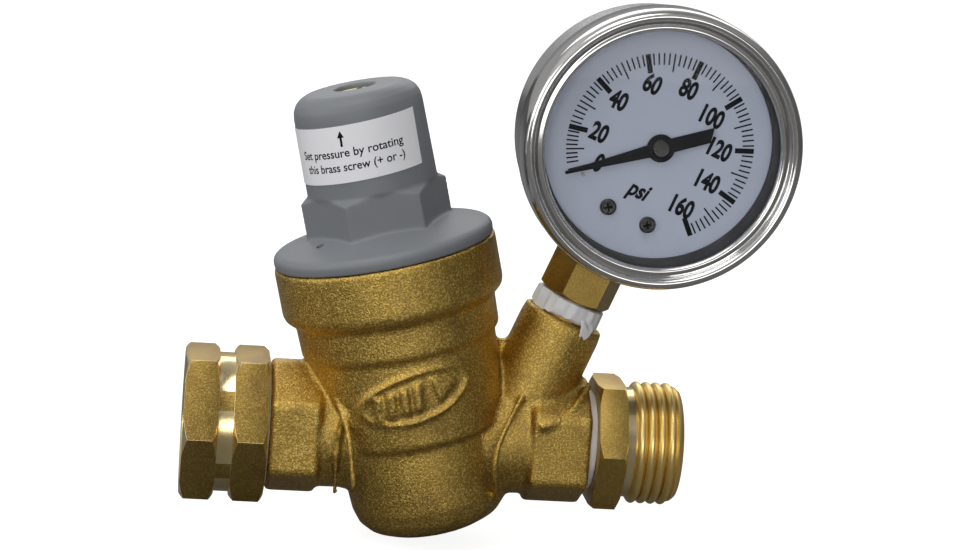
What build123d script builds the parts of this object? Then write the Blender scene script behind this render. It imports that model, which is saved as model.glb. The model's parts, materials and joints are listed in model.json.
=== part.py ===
"""Adjustable brass water pressure regulator for a hose line, with a 2 inch dial gauge.

Frame: origin at the mouth of the inlet hose thread, +X along the flow, +Z up, and the dial faces -Y.
The spring stack leans back towards the inlet and the gauge stem leans forward towards the outlet.
All sizes are in millimetres.
"""

import os
from math import cos, pi, radians, sin, sqrt, tan

from build123d import *

# ---------------------------------------------------------------- driving sizes
# line of the pipe
inlet_reach = 51.5          # inlet mouth to the crossing of the pipe and the spring stack
outlet_reach = 57.0         # crossing to the end of the outlet thread
stack_lean = 14.5           # degrees, spring stack back towards the inlet
gauge_lean = 21.0           # degrees, gauge stem forward towards the outlet
gauge_offset = 19.5         # crossing to the foot of the gauge stem, along the pipe
gauge_rise = 72.5           # foot of the gauge stem to the centre of the dial

# hose threads, 3/4-11.5 garden hose
hose_major_r = 13.45        # outside of the male thread
hose_minor_r = 12.45        # root of the male thread
hose_pitch = 2.209
female_minor_r = 12.65      # crests of the female thread
female_major_r = 13.6       # roots of the female thread

# bowl of the body, radius and height along the spring stack
cup_bottom = -21.0
cup_r = 18.0
bowl_foot = 0.7
bowl_foot_r = 19.4
band_height = 21.1
band_r = 21.5
rim_under = 28.6
rim_neck_r = 22.0
rim_lower = 30.4
rim_r = 24.2
rim_top = 41.5

# waterways
way_r = 7.0
inlet_chamber_r = 9.0
inlet_chamber_floor = -16.0
seat_web_low = 8.0
seat_web_top = 16.0
seat_bore_r = 10.0
outlet_chamber_r = 17.0
diaphragm_ledge = 31.0
clamp_bore_r = 21.0
outlet_way_start = 13.5
riser_offset = 14.4
riser_r = 2.4

# necks
inlet_neck_face = -33.0
outlet_neck_face = 36.5
web_outline = [(8.0, 4.0), (10.0, 21.8), (22.0, 21.8), (26.0, 4.0)]
web_thickness = 2.8
neck_height = 29.0
neck_width = 27.0
inlet_facets = 11.0         # length of the faceted inlet neck
inlet_waist_start = -23.0
inlet_waist_length = 14.0
inlet_waist_r = 13.0
outlet_waist_start = 8.0
outlet_waist_r = 11.8
neck_cut = 13.0             # length of the faceted outlet neck
outlet_neck_height = 28.0
pipe_thread_r = 10.4        # 1/2 inch pipe thread
pipe_thread_length = 11.5

# gauge boss and its pipe thread
boss_r = 9.2
boss_top = 29.5
gauge_thread_r = 6.6
gauge_thread_length = 10.0
gauge_way_r = 2.5

# fittings
adapter_flats = 30.6
adapter_hex_length = 7.4
adapter_groove_r = 15.1
nipple_flats = 27.0
nipple_hex_start = 38.2
nipple_hex_length = 6.2
nipple_collar_r = 12.1
nipple_collar_length = 2.2
nipple_way_r = 7.5
tape_thickness = 0.45

# bonnet
flange_r = 24.0
flange_thickness = 2.8      # at its edge
flange_rise = 2.9           # the flange's top slopes up to the wrench hexagon
bonnet_flats = 27.8
bonnet_hex_height = 8.6
bonnet_hex_turn = 4.0
cap_foot_r = 14.15
cap_head_r = 13.85
cap_top = 77.4
cap_edge_r = 4.5
bonnet_skirt_r = 20.95
bonnet_skirt_low = 34.2
bonnet_wall = 3.0
spring_room_r = 11.6
key_width = 3.0
key_depth = 1.2
head_bore_r = 4.45
head_floor = 71.3
head_shoulder = 1.6         # plastic that holds the screw collar down
vent_r = 0.9
vent_radius = 16.4
vent_angle = -146.0         # in front and to the inlet side

# adjusting screw, spring nut and range spring
screw_head_r = 4.1
screw_thread_r = 4.0
screw_collar_r = 6.5
screw_collar_thickness = 1.6
screw_slot_width = 1.1
nut_height = 5.0
nut_travel_up = 2.0
nut_travel_down = 5.0
screw_spare = 5.5           # screw below the nut at its lowest
running_gap = 0.05
face_gap = 0.3
collar_room = 2.5           # recess under the bonnet's head for the screw collar
thrust_washer_thickness = 0.32
screw_slot_depth = 1.7
screw_slot_turn = 62.0
head_sink = 0.9             # screw head below the top of the cap
wire_r = 1.3
coil_r = 9.3
coil_turns = 6.0

# diaphragm stack and valve
diaphragm_thickness = 1.5
plate_r = 13.5
plate_thickness = 1.6
stem_r = 2.5
stem_thread_r = 2.0
valve_lift = 2.4            # opening at rest, closed when the stem rises by this much
seat_hole_r = 4.2
seat_lip_r = 5.2
disc_r = 6.3
disc_thickness = 2.2
holder_r = 7.0
holder_thickness = 3.4

# gauge
case_r = 28.6
case_wall = 1.0
bezel_wall = 1.4            # rolled rim outside the case
bezel_lip = 4.8             # from the outside of the bezel to its opening
window_room = 0.2
dial_margin = 1.4           # the window's rubber ring holds the dial by its edge
tube_margin = 6.0           # from the edge of the dial in to the middle of the Bourdon tube
stop_margin = 8.6
pointer_margin = 5.0
case_back = -11.0           # behind the stem axis
case_mouth = 14.5           # in front of the stem axis
bezel_front = 19.0
bezel_back = 7.5
window_thickness = 1.6
dial_front = 12.6
dial_thickness = 0.6
pointer_turn = 264.0        # stop pin to full scale
pointer_rest = 231.0        # clockwise from the stem direction, as left at no pressure
arbor_r = 0.75
socket_flats = 14.3
sector_teeth = 120          # of the whole circle that the sector is cut from
pinion_teeth = 12
gear_module = 0.2

bezel_r = case_r + bezel_wall
bezel_opening_r = bezel_r - bezel_lip
window_r = case_r - case_wall - window_room
dial_r = window_r - dial_margin

# ---------------------------------------------------------------- frames
pipe_axis = Axis((0, 0, 0), (1, 0, 0))
crossing = Vector(inlet_reach, 0, 0)
stack_up = Vector(-sin(radians(stack_lean)), 0, cos(radians(stack_lean)))
stack_out = Vector(cos(radians(stack_lean)), 0, sin(radians(stack_lean)))
stack_axis = Axis(crossing, stack_up)
stack_section = Plane(crossing, x_dir=stack_out, z_dir=(0, -1, 0))
stem_foot = Vector(inlet_reach + gauge_offset, 0, 0)
stem_up = Vector(sin(radians(gauge_lean)), 0, cos(radians(gauge_lean)))
stem_side = Vector(cos(radians(gauge_lean)), 0, -sin(radians(gauge_lean)))
stem_axis = Axis(stem_foot, stem_up)
stem_section = Plane(stem_foot, x_dir=stem_side, z_dir=(0, -1, 0))
dial_centre = stem_foot + stem_up * gauge_rise
dial_axis = Axis(dial_centre, (0, -1, 0))
dial_section = Plane(dial_centre, x_dir=stem_side, z_dir=stem_up * -1)


def across_stack(height):
    """Plane square to the spring stack; its X points at the outlet side."""
    return Plane(crossing + stack_up * height, x_dir=stack_out, z_dir=stack_up)


def across_pipe(place):
    """Plane square to the pipe, place counted from the crossing."""
    return Plane((inlet_reach + place, 0, 0), x_dir=(0, 1, 0), z_dir=(1, 0, 0))


def across_stem(height):
    """Plane square to the gauge stem."""
    return Plane(stem_foot + stem_up * height, x_dir=stem_side, z_dir=stem_up)


def over_dial(front):
    """Plane parallel to the dial, front counted from the stem axis towards the reader."""
    return Plane(dial_centre - Vector(0, front, 0), x_dir=stem_side, z_dir=(0, -1, 0))


def turned(outline, section, axis, rounded=None):
    """A ring or spigot turned from an outline of (radius, place) points; rounded maps corner to radius."""
    radii = [(rounded or {}).get(corner, 0) for corner in range(len(outline))]
    with BuildPart() as piece:
        with BuildSketch(section):
            with BuildLine():
                FilletPolyline(*outline, radius=radii, close=True)
            make_face()
        revolve(axis=axis)
    return piece


def on_pipe(outline, rounded=None):
    """Turned about the pipe, from (place from the crossing, radius) points."""
    shifted = [(inlet_reach + place, radius) for place, radius in outline]
    return turned(shifted, Plane.XZ, pipe_axis, rounded)


def on_stack(outline, rounded=None):
    return turned(outline, stack_section, stack_axis, rounded)


def on_stem(outline, rounded=None):
    return turned(outline, stem_section, stem_axis, rounded)


def on_dial(outline, rounded=None):
    """Turned about the dial, from (radius, place in front of the stem axis) points."""
    flipped = [(radius, place) for radius, place in outline]
    return turned(flipped, dial_section, dial_axis, rounded)


def save(piece, name):
    piece.part.label = name
    export_step(piece.part, f"parts/{name}.step")


os.makedirs("parts", exist_ok=True)

# ---------------------------------------------------------------- body
# One brass forging: a bowl for the spring stack, two necks for the pipe and a boss for the gauge.
bowl_outline = [
    (0, cup_bottom),
    (cup_r - 1.2, cup_bottom),
    (cup_r, bowl_foot),
    (bowl_foot_r, bowl_foot + 0.6),
    (band_r - 0.3, band_height),
    (band_r, band_height + 0.3),
    (rim_neck_r, rim_under),
    (rim_r, rim_lower),
    (rim_r, rim_top),
    (clamp_bore_r, rim_top),
    (clamp_bore_r, diaphragm_ledge),
    (outlet_chamber_r, diaphragm_ledge),
    (outlet_chamber_r, seat_web_top),
    (seat_bore_r, seat_web_top),
    (seat_bore_r, seat_web_low),
    (inlet_chamber_r, seat_web_low),
    (inlet_chamber_r, inlet_chamber_floor),
    (0, inlet_chamber_floor),
]
bowl_rounding = {1: 6.5, 7: 0.8, 8: 0.6}


def neck_profile(height, width):
    """Six-sided forged neck with its top and bottom corners cut flat along the parting line."""
    with BuildSketch() as profile:
        RegularPolygon(radius=width / 2, side_count=6, major_radius=False, rotation=30)
        Rectangle(2 * width, height, mode=Mode.INTERSECT)
        fillet(profile.vertices(), 1.2)
    return profile.sketch


with BuildPart() as body:
    # solid outside of the bowl
    with BuildSketch(stack_section):
        with BuildLine():
            outside = bowl_outline[:9] + [(0, rim_top)]
            outer_radii = [bowl_rounding.get(corner, 0) for corner in range(len(outside))]
            FilletPolyline(*outside, radius=outer_radii, close=True)
        make_face()
    revolve(axis=stack_axis)
    # inlet neck, then outlet neck with its waist
    with BuildSketch(across_pipe(inlet_neck_face)):
        add(neck_profile(neck_height, neck_width))
    extrude(amount=inlet_facets)
    with BuildSketch(across_pipe(inlet_waist_start)):
        Circle(inlet_waist_r)
    extrude(amount=inlet_waist_length)
    with BuildSketch(across_pipe(outlet_neck_face - neck_cut)):
        add(neck_profile(outlet_neck_height, neck_width - 0.6))
    extrude(amount=neck_cut)
    with BuildSketch(across_pipe(outlet_waist_start)):
        Circle(outlet_waist_r)
    extrude(amount=outlet_neck_face - neck_cut - outlet_waist_start + 1.0)
    # gauge boss, and the web that ties it to the bowl
    with BuildSketch(across_stem(0)):
        Circle(boss_r)
    extrude(amount=boss_top)
    with BuildSketch(Plane((inlet_reach, 0, 0), x_dir=(1, 0, 0), z_dir=(0, -1, 0))):
        with BuildLine():
            Polyline(*web_outline, close=True)
        make_face()
    extrude(amount=web_thickness / 2, both=True)
    # bore of the bowl
    with BuildSketch(stack_section):
        with BuildLine():
            inside = [(0, rim_top + 1), (clamp_bore_r, rim_top + 1)] + bowl_outline[10:]
            Polyline(*inside, close=True)
        make_face()
    revolve(axis=stack_axis, mode=Mode.SUBTRACT)
    # waterways, pipe threads and the riser from the outlet neck to the outlet chamber
    with BuildSketch(across_pipe(inlet_neck_face - 1.0)):
        Circle(way_r)
    extrude(amount=-inlet_neck_face + 1.0, mode=Mode.SUBTRACT)
    with BuildSketch(across_pipe(inlet_neck_face - 1.0)):
        Circle(pipe_thread_r)
    extrude(amount=pipe_thread_length + 1.0, mode=Mode.SUBTRACT)
    with BuildSketch(across_pipe(outlet_way_start)):
        Circle(way_r)
    extrude(amount=outlet_neck_face, mode=Mode.SUBTRACT)
    with BuildSketch(across_pipe(outlet_neck_face - pipe_thread_length)):
        Circle(pipe_thread_r)
    extrude(amount=pipe_thread_length + 1.0, mode=Mode.SUBTRACT)
    with BuildSketch(across_stack(0.5)):
        with Locations((riser_offset, 0)):
            Circle(riser_r)
    extrude(amount=seat_web_top, mode=Mode.SUBTRACT)
    with BuildSketch(across_stem(2.0)):
        Circle(gauge_way_r)
    extrude(amount=boss_top, mode=Mode.SUBTRACT)
    with BuildSketch(across_stem(boss_top - gauge_thread_length)):
        Circle(gauge_thread_r)
    extrude(amount=gauge_thread_length + 1.0, mode=Mode.SUBTRACT)
    # raised oval for a mark, on the reader's side of the bowl
    badge_plane = Plane(crossing + stack_up * 13.0, x_dir=stack_out, z_dir=(0, -1, 0))
    with BuildSketch(badge_plane.offset(bowl_foot_r)):
        Ellipse(8.0, 5.2)
    extrude(amount=1.9)
save(body, "body")

# ---------------------------------------------------------------- inlet side
hex_depth = adapter_flats / 2
thread_end = 11.0
inlet_face = -inlet_reach


def hexed_bar(start, length, flats, rounding_r):
    """A length of hexagon bar on the pipe, flats at top and bottom, with both ends chamfered in a lathe."""
    with BuildPart() as bar:
        with BuildSketch(across_pipe(start)):
            RegularPolygon(radius=flats / 2, side_count=6, major_radius=False, rotation=0)
        extrude(amount=length)
        lift = (flats / sqrt(3) - rounding_r) * tan(radians(30))
        with BuildSketch(Plane.XZ):
            with BuildLine():
                left = inlet_reach + start
                Polyline(
                    (left, 0),
                    (left, rounding_r),
                    (left + lift, flats / sqrt(3) + 0.01),
                    (left + length - lift, flats / sqrt(3) + 0.01),
                    (left + length, rounding_r),
                    (left + length, 0),
                    close=True,
                )
            make_face()
        revolve(axis=pipe_axis, mode=Mode.INTERSECT)
    return bar.part


second_hex = inlet_face + adapter_hex_length + 3.3
adapter_back = second_hex + adapter_hex_length
female_roots = [
    (inlet_face + 1.6 + turn * hose_pitch, inlet_face + 1.6 + (turn + 0.5) * hose_pitch) for turn in range(4)
]
with BuildPart() as inlet_adapter:
    add(hexed_bar(inlet_face, adapter_hex_length, adapter_flats, hex_depth - 0.1))
    add(hexed_bar(second_hex, adapter_hex_length, adapter_flats, hex_depth - 0.1))
    with BuildSketch(across_pipe(inlet_face + 2.0)):
        Circle(adapter_groove_r)
    extrude(amount=adapter_back - inlet_face - 4.0)
    with BuildSketch(across_pipe(adapter_back - 1.0)):
        Circle(pipe_thread_r)
    extrude(amount=inlet_neck_face + pipe_thread_length - adapter_back + 0.8)
    with BuildSketch(Plane.XZ):
        with BuildLine():
            mouth = 0.0
            bore = [(mouth - 1, 0), (mouth - 1, female_major_r + 1.3), (mouth + 1.0, female_minor_r + 0.2)]
            for low, high in female_roots:
                low_x = low + inlet_reach
                high_x = high + inlet_reach
                bore += [
                    (low_x, female_minor_r),
                    (low_x + 0.45, female_major_r),
                    (high_x - 0.1, female_major_r),
                    (high_x + 0.35, female_minor_r),
                ]
            bore += [(thread_end, female_minor_r), (thread_end, way_r), (inlet_reach + outlet_reach, way_r)]
            bore += [(inlet_reach + outlet_reach, 0)]
            Polyline(*bore, close=True)
        make_face()
    revolve(axis=pipe_axis, mode=Mode.SUBTRACT)
save(inlet_adapter, "inlet_adapter")

washer_place = inlet_face + thread_end - 2.8
screen_r = 7.4
hose_washer = on_pipe(
    [
        (washer_place, screen_r + 0.2),
        (washer_place, 12.4),
        (inlet_face + thread_end, 12.4),
        (inlet_face + thread_end, screen_r + 0.2),
    ],
    {0: 0.4, 1: 0.4},
)
save(hose_washer, "hose_washer")

# hat of woven wire that stands in the mouth, with its skirt inside the washer
screen_apex = 1.2           # behind the mouth
screen_cap_depth = 2.2
screen_wall = 0.4


def screen_cap(outer_r, apex):
    """Arc of the domed end, from the pipe's axis to its edge."""
    cap_sphere_r = (outer_r**2 + screen_cap_depth**2) / (2 * screen_cap_depth)
    half_sag = cap_sphere_r - sqrt(cap_sphere_r**2 - outer_r**2 / 4)
    return ThreePointArc((apex, 0), (apex + half_sag, outer_r / 2), (apex + screen_cap_depth, outer_r))


with BuildPart() as inlet_screen:
    with BuildSketch(Plane.XZ):
        with BuildLine():
            outer_cap = screen_cap(screen_r, screen_apex)
            inner_cap = screen_cap(screen_r - screen_wall, screen_apex + screen_wall)
            Polyline(
                outer_cap @ 1,
                (thread_end - 0.6, screen_r),
                (thread_end - 0.6, screen_r - screen_wall),
                inner_cap @ 1,
            )
            Line(inner_cap @ 0, outer_cap @ 0)
        make_face()
    revolve(axis=pipe_axis)
save(inlet_screen, "inlet_screen")


def tape_wrap(low, high, inner_r, thickness):
    """PTFE tape as the closed band that shows between a neck and its fitting."""
    return [(low, inner_r), (low, inner_r + thickness), (high, inner_r + thickness), (high, inner_r)]


inlet_tape = on_pipe(tape_wrap(adapter_back + 0.05, inlet_neck_face - 0.05, pipe_thread_r, 1.6))
save(inlet_tape, "inlet_tape")

# ---------------------------------------------------------------- outlet side
nipple_hex_end = nipple_hex_start + nipple_hex_length
collar_end = nipple_hex_end + nipple_collar_length
crest_width = 0.6
crests = [collar_end + 0.7 + turn * hose_pitch for turn in range(5)]
with BuildPart() as outlet_nipple:
    add(hexed_bar(nipple_hex_start, nipple_hex_length, nipple_flats, nipple_flats / 2 - 0.1))
    with BuildSketch(Plane.XZ):
        with BuildLine():
            base = inlet_reach
            spigot = [
                (base + outlet_neck_face - pipe_thread_length + 0.3, 0),
                (base + outlet_neck_face - pipe_thread_length + 0.3, pipe_thread_r),
                (base + nipple_hex_start + 0.5, pipe_thread_r),
                (base + nipple_hex_end - 0.5, nipple_collar_r),
                (base + collar_end - 0.4, nipple_collar_r),
                (base + collar_end, nipple_collar_r - 0.4),
            ]
            for crest in crests:
                if crest + crest_width + 0.6 < outlet_reach:
                    spigot += [
                        (base + crest - 0.5, hose_minor_r - 0.5),
                        (base + crest, hose_major_r),
                        (base + crest + crest_width, hose_major_r),
                        (base + crest + crest_width + 0.5, hose_minor_r - 0.5),
                    ]
            spigot += [(base + outlet_reach, hose_minor_r - 0.7), (base + outlet_reach, 0)]
            Polyline(*spigot, close=True)
        make_face()
    revolve(axis=pipe_axis)
    with BuildSketch(across_pipe(outlet_neck_face - pipe_thread_length)):
        Circle(nipple_way_r)
    extrude(amount=outlet_reach, mode=Mode.SUBTRACT)
save(outlet_nipple, "outlet_nipple")

outlet_tape = on_pipe(
    tape_wrap(outlet_neck_face + 0.05, nipple_hex_start - 0.05, pipe_thread_r, tape_thickness)
)
save(outlet_tape, "outlet_tape")

# ---------------------------------------------------------------- bonnet
# Moulded in grey plastic: flange, wrench hexagon, cap for the adjusting screw and a skirt screwed into the rim.
flange_edge = rim_top + flange_thickness
flange_top = flange_edge + flange_rise
hex_top = flange_top + bonnet_hex_height
with BuildPart() as bonnet:
    with BuildSketch(stack_section):
        with BuildLine():
            FilletPolyline(
                (0, bonnet_skirt_low),
                (bonnet_skirt_r, bonnet_skirt_low),
                (bonnet_skirt_r, rim_top),
                (flange_r, rim_top),
                (flange_r, flange_edge),
                (cap_foot_r, flange_top),
                (cap_foot_r, hex_top),
                (cap_head_r, cap_top),
                (0, cap_top),
                radius=[0, 0, 0, 0.5, 1.2, 0, 0, cap_edge_r, 0],
                close=True,
            )
        make_face()
    revolve(axis=stack_axis)
    with BuildPart(mode=Mode.PRIVATE) as wrench_hex:
        with BuildSketch(across_stack(flange_edge)):
            RegularPolygon(radius=bonnet_flats / 2, side_count=6, major_radius=False, rotation=bonnet_hex_turn)
        extrude(amount=hex_top - flange_edge)
        chamfer(wrench_hex.edges().group_by(SortBy.LENGTH)[-1], 0.4)
        hex_round = bonnet_flats / sqrt(3)
        with BuildSketch(stack_section):
            with BuildLine():
                Polyline(
                    (0, flange_edge - 1),
                    (hex_round + 1, flange_edge - 1),
                    (hex_round + 1, hex_top - 1.6),
                    (bonnet_flats / 2, hex_top),
                    (0, hex_top),
                    close=True,
                )
            make_face()
        revolve(axis=stack_axis, mode=Mode.INTERSECT)
    add(wrench_hex.part)
    # spring room with its two key slots, recess and hole for the screw head
    with BuildSketch(stack_section):
        with BuildLine():
            Polyline(
                (0, bonnet_skirt_low - 1),
                (bonnet_skirt_r - bonnet_wall, bonnet_skirt_low - 1),
                (bonnet_skirt_r - bonnet_wall, rim_top - 1.0),
                (spring_room_r, rim_top + 5.0),
                (spring_room_r, head_floor - collar_room),
                (screw_collar_r + face_gap, head_floor - collar_room),
                (screw_collar_r + face_gap, head_floor - head_shoulder),
                (screw_thread_r + face_gap, head_floor - head_shoulder),
                (screw_thread_r + face_gap, head_floor),
                (head_bore_r, head_floor),
                (head_bore_r, cap_top + 1),
                (0, cap_top + 1),
                close=True,
            )
        make_face()
    revolve(axis=stack_axis, mode=Mode.SUBTRACT)
    with BuildSketch(across_stack(rim_top + 5.0)):
        for side in (-1, 1):
            with Locations((side * spring_room_r, 0)):
                Rectangle(2 * key_depth, key_width)
    extrude(amount=head_floor - collar_room - rim_top - 5.0, mode=Mode.SUBTRACT)
    # vent hole through the flange
    with BuildSketch(across_stack(rim_top - 1.0)):
        with PolarLocations(vent_radius, 1, start_angle=vent_angle):
            Circle(vent_r)
    extrude(amount=flange_thickness + flange_rise + 2.0, mode=Mode.SUBTRACT)
save(bonnet, "bonnet")

# ---------------------------------------------------------------- adjusting screw and spring
collar_top = head_floor - head_shoulder - running_gap - 0.35
collar_low = collar_top - screw_collar_thickness
nut_rest = collar_low - 0.2 - nut_travel_up - nut_height      # underside of the spring nut as set
screw_low = nut_rest - nut_travel_down - screw_spare
with BuildPart() as adjusting_screw:
    with BuildSketch(stack_section):
        with BuildLine():
            Polyline(
                (0, screw_low),
                (screw_thread_r - 0.6, screw_low),
                (screw_thread_r, screw_low + 0.6),
                (screw_thread_r, collar_low),
                (screw_collar_r, collar_low),
                (screw_collar_r, collar_top),
                (screw_thread_r, collar_top),
                (screw_thread_r, head_floor + 0.3),
                (screw_head_r, head_floor + 0.3),
                (screw_head_r, cap_top - head_sink - 0.5),
                (screw_head_r - 0.5, cap_top - head_sink),
                (0, cap_top - head_sink),
                close=True,
            )
        make_face()
    revolve(axis=stack_axis)
    with BuildSketch(across_stack(cap_top - head_sink - screw_slot_depth)):
        Rectangle(3 * screw_head_r, screw_slot_width, rotation=screw_slot_turn)
    extrude(amount=screw_slot_depth + 1.0, mode=Mode.SUBTRACT)
save(adjusting_screw, "adjusting_screw")

thrust_washer = on_stack(
    [
        (screw_thread_r + face_gap, collar_top + 0.03),
        (screw_collar_r, collar_top + 0.03),
        (screw_collar_r, collar_top + 0.03 + thrust_washer_thickness),
        (screw_thread_r + face_gap, collar_top + 0.03 + thrust_washer_thickness),
    ]
)
save(thrust_washer, "thrust_washer")

with BuildPart() as spring_nut:
    with BuildSketch(across_stack(nut_rest)):
        Circle(spring_room_r - 0.25)
        for side in (-1, 1):
            with Locations((side * (spring_room_r - 0.3), 0)):
                Rectangle(2 * key_depth - 0.8, key_width - 0.5)
        Circle(screw_thread_r + running_gap, mode=Mode.SUBTRACT)
    extrude(amount=nut_height)
    with BuildSketch(across_stack(nut_rest)):
        Circle(coil_r + wire_r + 0.6)
        Circle(coil_r - wire_r - 0.4, mode=Mode.SUBTRACT)
    extrude(amount=1.2, mode=Mode.SUBTRACT)
save(spring_nut, "spring_nut")

diaphragm_top = diaphragm_ledge + diaphragm_thickness
plate_low = diaphragm_top
plate_top = plate_low + plate_thickness
spring_foot = plate_top + 0.02
spring_head = nut_rest + 1.2 - 0.02
coil_pitch = (spring_head - spring_foot - 2 * wire_r) / coil_turns
with BuildPart() as range_spring:
    coil_start = crossing + stack_up * (spring_foot + wire_r)
    with BuildLine():
        coil = Helix(
            pitch=coil_pitch,
            height=coil_pitch * coil_turns,
            radius=coil_r,
            center=coil_start,
            direction=stack_up,
        )
    with BuildSketch(Plane(coil @ 0, z_dir=coil % 0)):
        Circle(wire_r)
    sweep(is_frenet=True)
save(range_spring, "range_spring")

# ---------------------------------------------------------------- diaphragm stack
slip_ring = on_stack(
    [
        (outlet_chamber_r + 0.2, diaphragm_top),
        (clamp_bore_r - 0.1, diaphragm_top),
        (clamp_bore_r - 0.1, bonnet_skirt_low),
        (outlet_chamber_r + 0.2, bonnet_skirt_low),
    ]
)
save(slip_ring, "slip_ring")

roll_mid_r = (outlet_chamber_r + plate_r) / 2
diaphragm = on_stack(
    [
        (stem_thread_r + 0.1, diaphragm_ledge),
        (plate_r + 0.6, diaphragm_ledge),
        (roll_mid_r, diaphragm_ledge - 1.2),
        (outlet_chamber_r - 0.4, diaphragm_ledge),
        (clamp_bore_r - 0.1, diaphragm_ledge),
        (clamp_bore_r - 0.1, diaphragm_top),
        (outlet_chamber_r - 0.2, diaphragm_top),
        (roll_mid_r, diaphragm_top - 1.2),
        (plate_r + 0.4, diaphragm_top),
        (stem_thread_r + 0.1, diaphragm_top),
    ]
)
save(diaphragm, "diaphragm")

spring_plate = on_stack(
    [
        (stem_thread_r + 0.1, plate_low),
        (plate_r, plate_low),
        (plate_r, plate_top - 0.3),
        (plate_r - 0.3, plate_top),
        (coil_r - wire_r - 0.5, plate_top),
        (coil_r - wire_r - 0.9, plate_top + 1.6),
        (stem_thread_r + 0.1, plate_top + 1.6),
    ]
)
save(spring_plate, "spring_plate")

under_plate_low = diaphragm_ledge - 1.2
under_plate = on_stack(
    [
        (stem_thread_r + 0.1, under_plate_low),
        (plate_r - 2.5, under_plate_low),
        (plate_r - 0.6, diaphragm_ledge),
        (stem_thread_r + 0.1, diaphragm_ledge),
    ]
)
save(under_plate, "under_plate")

stem_head_top = plate_top + 1.6
stem_nut_top = stem_head_top + 2.4
with BuildPart() as stem_nut:
    with BuildSketch(across_stack(stem_head_top)):
        RegularPolygon(radius=3.5, side_count=6, major_radius=False)
        Circle(stem_thread_r, mode=Mode.SUBTRACT)
    extrude(amount=stem_nut_top - stem_head_top)
save(stem_nut, "stem_nut")

# ---------------------------------------------------------------- seat and valve
seat_edge = seat_web_low - 1.0                     # the disc closes upwards against this edge
disc_top = seat_edge - valve_lift
holder_low = disc_top - holder_thickness
stem = on_stack(
    [
        (0, holder_low + 0.8),
        (stem_thread_r - 0.2, holder_low + 0.8),
        (stem_thread_r - 0.2, disc_top + 0.2),
        (stem_r - 0.3, disc_top + 0.2),
        (stem_r, disc_top + 0.6),
        (stem_r, under_plate_low),
        (stem_thread_r, under_plate_low),
        (stem_thread_r, stem_nut_top + 0.6),
        (0, stem_nut_top + 0.6),
    ]
)
save(stem, "stem")

seat_top = seat_web_top + 2.0
guide_r = stem_r + running_gap
with BuildPart() as seat_insert:
    with BuildSketch(stack_section):
        with BuildLine():
            Polyline(
                (seat_hole_r, seat_edge),
                (seat_lip_r, seat_edge),
                (seat_lip_r + 1.0, seat_web_low),
                (seat_bore_r, seat_web_low),
                (seat_bore_r, seat_web_top + 1.2),
                (seat_bore_r - 0.8, seat_top),
                (guide_r, seat_top),
                (guide_r, seat_web_top - 1.0),
                (seat_hole_r + 2.0, seat_web_top - 3.0),
                (seat_hole_r, seat_web_low + 2.0),
                close=True,
            )
        make_face()
    revolve(axis=stack_axis)
    # flow ports round the stem guide
    with BuildSketch(across_stack(seat_web_top - 4.5)):
        with PolarLocations(5.6, 4, start_angle=45):
            Circle(1.7)
    extrude(amount=seat_top - seat_web_top + 5.5, mode=Mode.SUBTRACT)
    # groove for the O-ring above the thread
    with BuildSketch(stack_section):
        with Locations((seat_bore_r, seat_web_low + 1.6)):
            Rectangle(2 * 1.3, 1.9)
    revolve(axis=stack_axis, mode=Mode.SUBTRACT)
save(seat_insert, "seat_insert")

with BuildPart() as seat_o_ring:
    with BuildSketch(stack_section):
        with Locations((seat_bore_r - 0.64, seat_web_low + 1.6)):
            Circle(0.62)
    revolve(axis=stack_axis)
save(seat_o_ring, "seat_o_ring")

valve_disc = on_stack(
    [
        (stem_thread_r - 0.2, disc_top - disc_thickness),
        (disc_r - 0.5, disc_top - disc_thickness),
        (disc_r - 0.5, disc_top),
        (stem_thread_r - 0.2, disc_top),
    ]
)
save(valve_disc, "valve_disc")

disc_holder = on_stack(
    [
        (stem_thread_r - 0.2, holder_low),
        (holder_r - 0.6, holder_low),
        (holder_r - 0.2, holder_low + 0.4),
        (holder_r - 0.2, disc_top - 0.5),
        (disc_r - 0.5, disc_top - 0.5),
        (disc_r - 0.5, disc_top - disc_thickness),
        (stem_thread_r - 0.2, disc_top - disc_thickness),
    ]
)
save(disc_holder, "disc_holder")

disc_nut_top = holder_low
with BuildPart() as disc_nut:
    with BuildSketch(across_stack(disc_nut_top - 2.0)):
        RegularPolygon(radius=3.2, side_count=6, major_radius=False)
    extrude(amount=2.0)
save(disc_nut, "disc_nut")

# ---------------------------------------------------------------- instruction label
label_low = hex_top + 3.4
label_height = 12.1
label_thickness = 0.15
label_start = -200.0        # degrees about the stack, 0 at the outlet side, -90 at the reader
label_arc = 159.5


def cap_radius(height):
    """Outside of the tapered cap at a height on the stack."""
    return cap_foot_r + (cap_head_r - cap_foot_r) * (height - hex_top) / (cap_top - hex_top)


label_out = stack_out * cos(radians(label_start)) + Vector(0, sin(radians(label_start)), 0)
label_section = Plane(crossing, x_dir=label_out, z_dir=label_out.cross(stack_up))
label_high = label_low + label_height
with BuildPart() as label:
    with BuildSketch(label_section):
        with BuildLine():
            Polyline(
                (cap_radius(label_low), label_low),
                (cap_radius(label_low) + label_thickness, label_low),
                (cap_radius(label_high) + label_thickness, label_high),
                (cap_radius(label_high), label_high),
                close=True,
            )
        make_face()
    revolve(axis=stack_axis, revolution_arc=label_arc)
save(label, "instruction_label")

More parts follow.
